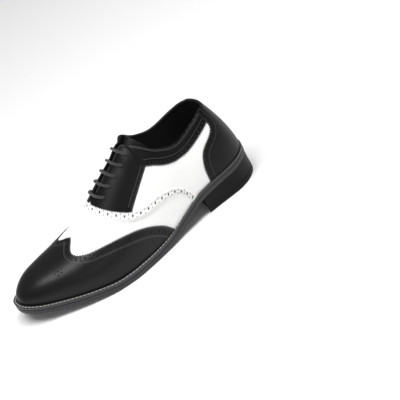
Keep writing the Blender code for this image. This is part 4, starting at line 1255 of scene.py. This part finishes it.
def lace_bar(row):
    """Middle line of one bar: out of the outer hole in a quarter turn, taut over the facings and straight
    over the gap, and down the inner hole. The bar bows towards the toe by the lean of the instep."""
    lift = LACE_RADIUS + LACE_CLEARANCE
    reach = EYELET_FROM_EDGE
    girth = np.linspace(reach - LACE_BEND, -reach + LACE_BEND, 61)
    ends = [EYELET_FIRST_X + row * EYELET_STEP + (side < 0) * EYELET_INNER_SHIFT for side in (1, -1)]
    x = ends[0] + (ends[1] - ends[0]) * (reach - girth) / (2 * reach) + LACE_BOW * (1 - (girth / reach) ** 2)
    side = np.where(girth >= 0, 1.0, -1.0)
    share = 1 - np.abs(girth) / rib_length(x, side)
    points, out = skin(x, share, side, FACING_DEPTH)
    points = points + out * lift
    gap = np.abs(girth) < LACE_SPAN
    rest = ~gap
    for k in range(3):
        points[gap, k] = np.interp(-girth[gap], -girth[rest], points[rest, k])
    turn = np.radians(LACE_TURN)[:, None]
    ends = []
    for way, near in ((1.0, 0), (-1.0, -1)):
        hole, up = skin(*from_chart(eyelet_chart(row, way)[None]), FACING_DEPTH)
        across = unit(points[near] - out[near] * lift - hole[0])
        sunk = hole - up * np.array(LACE_SUNK)[:, None]
        arc = hole + across * LACE_BEND * (1 - np.cos(turn)) + up * lift * np.sin(turn)
        ends.append(np.concatenate([sunk, arc]))
    line = np.concatenate([ends[0], points, ends[1][::-1]])
    run = run_of(line)
    line = read_at(line, run, np.linspace(0, run[-1], LACE_RINGS))
    for _ in range(LACE_SMOOTHING):
        line[1:-1] = 0.25 * line[:-2] + 0.5 * line[1:-1] + 0.25 * line[2:]
    return line


lace_cotton = braided_cotton("black_braided_cotton", "171718")
points, faces = [], []
for row in range(EYELET_ROWS):
    bar_points, bar_faces = tube(lace_bar(row), LACE_RADIUS, LACE_SIDES)
    points.append(bar_points)
    faces += [[corner + row * LACE_RINGS * LACE_SIDES for corner in face] for face in bar_faces]
points = np.concatenate(points)
lace = make_piece("lace_dressed", points, faces, [lace_cotton], 60)
uv = lace.data.uv_layers.new(name="braid")
vertex = np.empty(len(lace.data.loops), np.int32)
lace.data.loops.foreach_get("vertex_index", vertex)
braid = np.stack([vertex // LACE_SIDES % LACE_RINGS, vertex % LACE_SIDES], 1) * BRAID_STEP
uv.data.foreach_set("uv", braid.ravel())
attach(lace, "root")
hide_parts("lace")

# STAGE
# A pale paper floor under soft studio light: a wide key from above, a low strip on the camera's side and a
# bright surround. The camera has the photo's own angle to the shoe, rolled.
CAMERA_ANGLES = (0.250369720, 0.532183264, 0.511144175)
CAMERA_DISTANCE = 2472.3
CAMERA_FOCAL = 2396.9
CAMERA_CENTRE = (118.98, 213.47)
CAMERA_TARGET = np.array([150.0, 0.0, 45.0])
PHOTO_SIZE = 400
SENSOR_WIDTH = 36
FLOOR_HALF = 3


def camera_axes(azimuth, elevation, roll):
    """Image right, image up and the way back to the camera, from its azimuth, elevation and roll."""
    level = np.cos(elevation)
    back = np.array([np.sin(azimuth) * level, np.cos(azimuth) * level, np.sin(elevation)])
    right = np.array([-np.cos(azimuth), np.sin(azimuth), 0.0])
    up = np.cross(back, right)
    rolled = (right * np.cos(roll) - up * np.sin(roll), right * np.sin(roll) + up * np.cos(roll))
    return np.stack([*rolled, back])


def aim(thing, axes, place):
    """Turn an object to its own axes, given as rows, at a place in the row's metres."""
    matrix = np.eye(4)
    matrix[:3, :3] = axes.T
    matrix[:3, 3] = place
    thing.matrix_world = Matrix(matrix.tolist())


axes = camera_axes(*CAMERA_ANGLES)
shift = (np.array(CAMERA_CENTRE) - PHOTO_SIZE / 2) * CAMERA_DISTANCE / CAMERA_FOCAL
eye = CAMERA_TARGET - shift[0] * axes[0] + shift[1] * axes[1] + CAMERA_DISTANCE * axes[2]
camera_data = bpy.data.cameras.new("camera")
camera_data.sensor_width = SENSOR_WIDTH
camera_data.lens = CAMERA_FOCAL * SENSOR_WIDTH / PHOTO_SIZE
camera_data.clip_end = 20
camera = in_scene("camera", camera_data)
aim(camera, axes, (eye - ORIGIN) * MM)
bpy.context.scene.camera = camera

floor_mesh = bpy.data.meshes.new("floor")
corners = [(x * FLOOR_HALF, y * FLOOR_HALF, 0) for x, y in ((-1, -1), (1, -1), (1, 1), (-1, 1))]
floor_mesh.from_pydata(corners, [], [(0, 1, 2, 3)])
floor_mesh.materials.append(start_material("white_paper", Base_Color=srgb("f6f6f6"), Roughness=0.9)[0])
floor = in_scene("floor", floor_mesh)

bpy.context.scene.view_settings.view_transform = "Standard"
world = bpy.data.worlds.new("studio")
bpy.context.scene.world = world
world.use_nodes = True
world.node_tree.nodes["Background"].inputs["Color"].default_value = (1.0, 1.0, 1.0, 1.0)
world.node_tree.nodes["Background"].inputs["Strength"].default_value = 0.25


def softbox(name, place, towards, length, depth, power):
    """Area light at a place in the row's metres, facing a point, its length along the shoe."""
    data = bpy.data.lights.new(name, "AREA")
    data.shape = "RECTANGLE"
    data.size, data.size_y, data.energy = length, depth, power
    back = unit(np.subtract(place, towards))
    up = unit(np.cross(back, [1.0, 0.0, 0.0]))
    aim(in_scene(name, data), np.stack([np.cross(up, back), up, back]), place)


softbox("key_overhead", (0.05, 0.2, 1.2), (0.0, 0.0, 0.05), 1.5, 0.5, 21)
softbox("side_strip", (0.2, 1.1, 0.5), (0.02, 0.0, 0.05), 1.2, 0.2, 1.5)

bpy.context.view_layer.update()
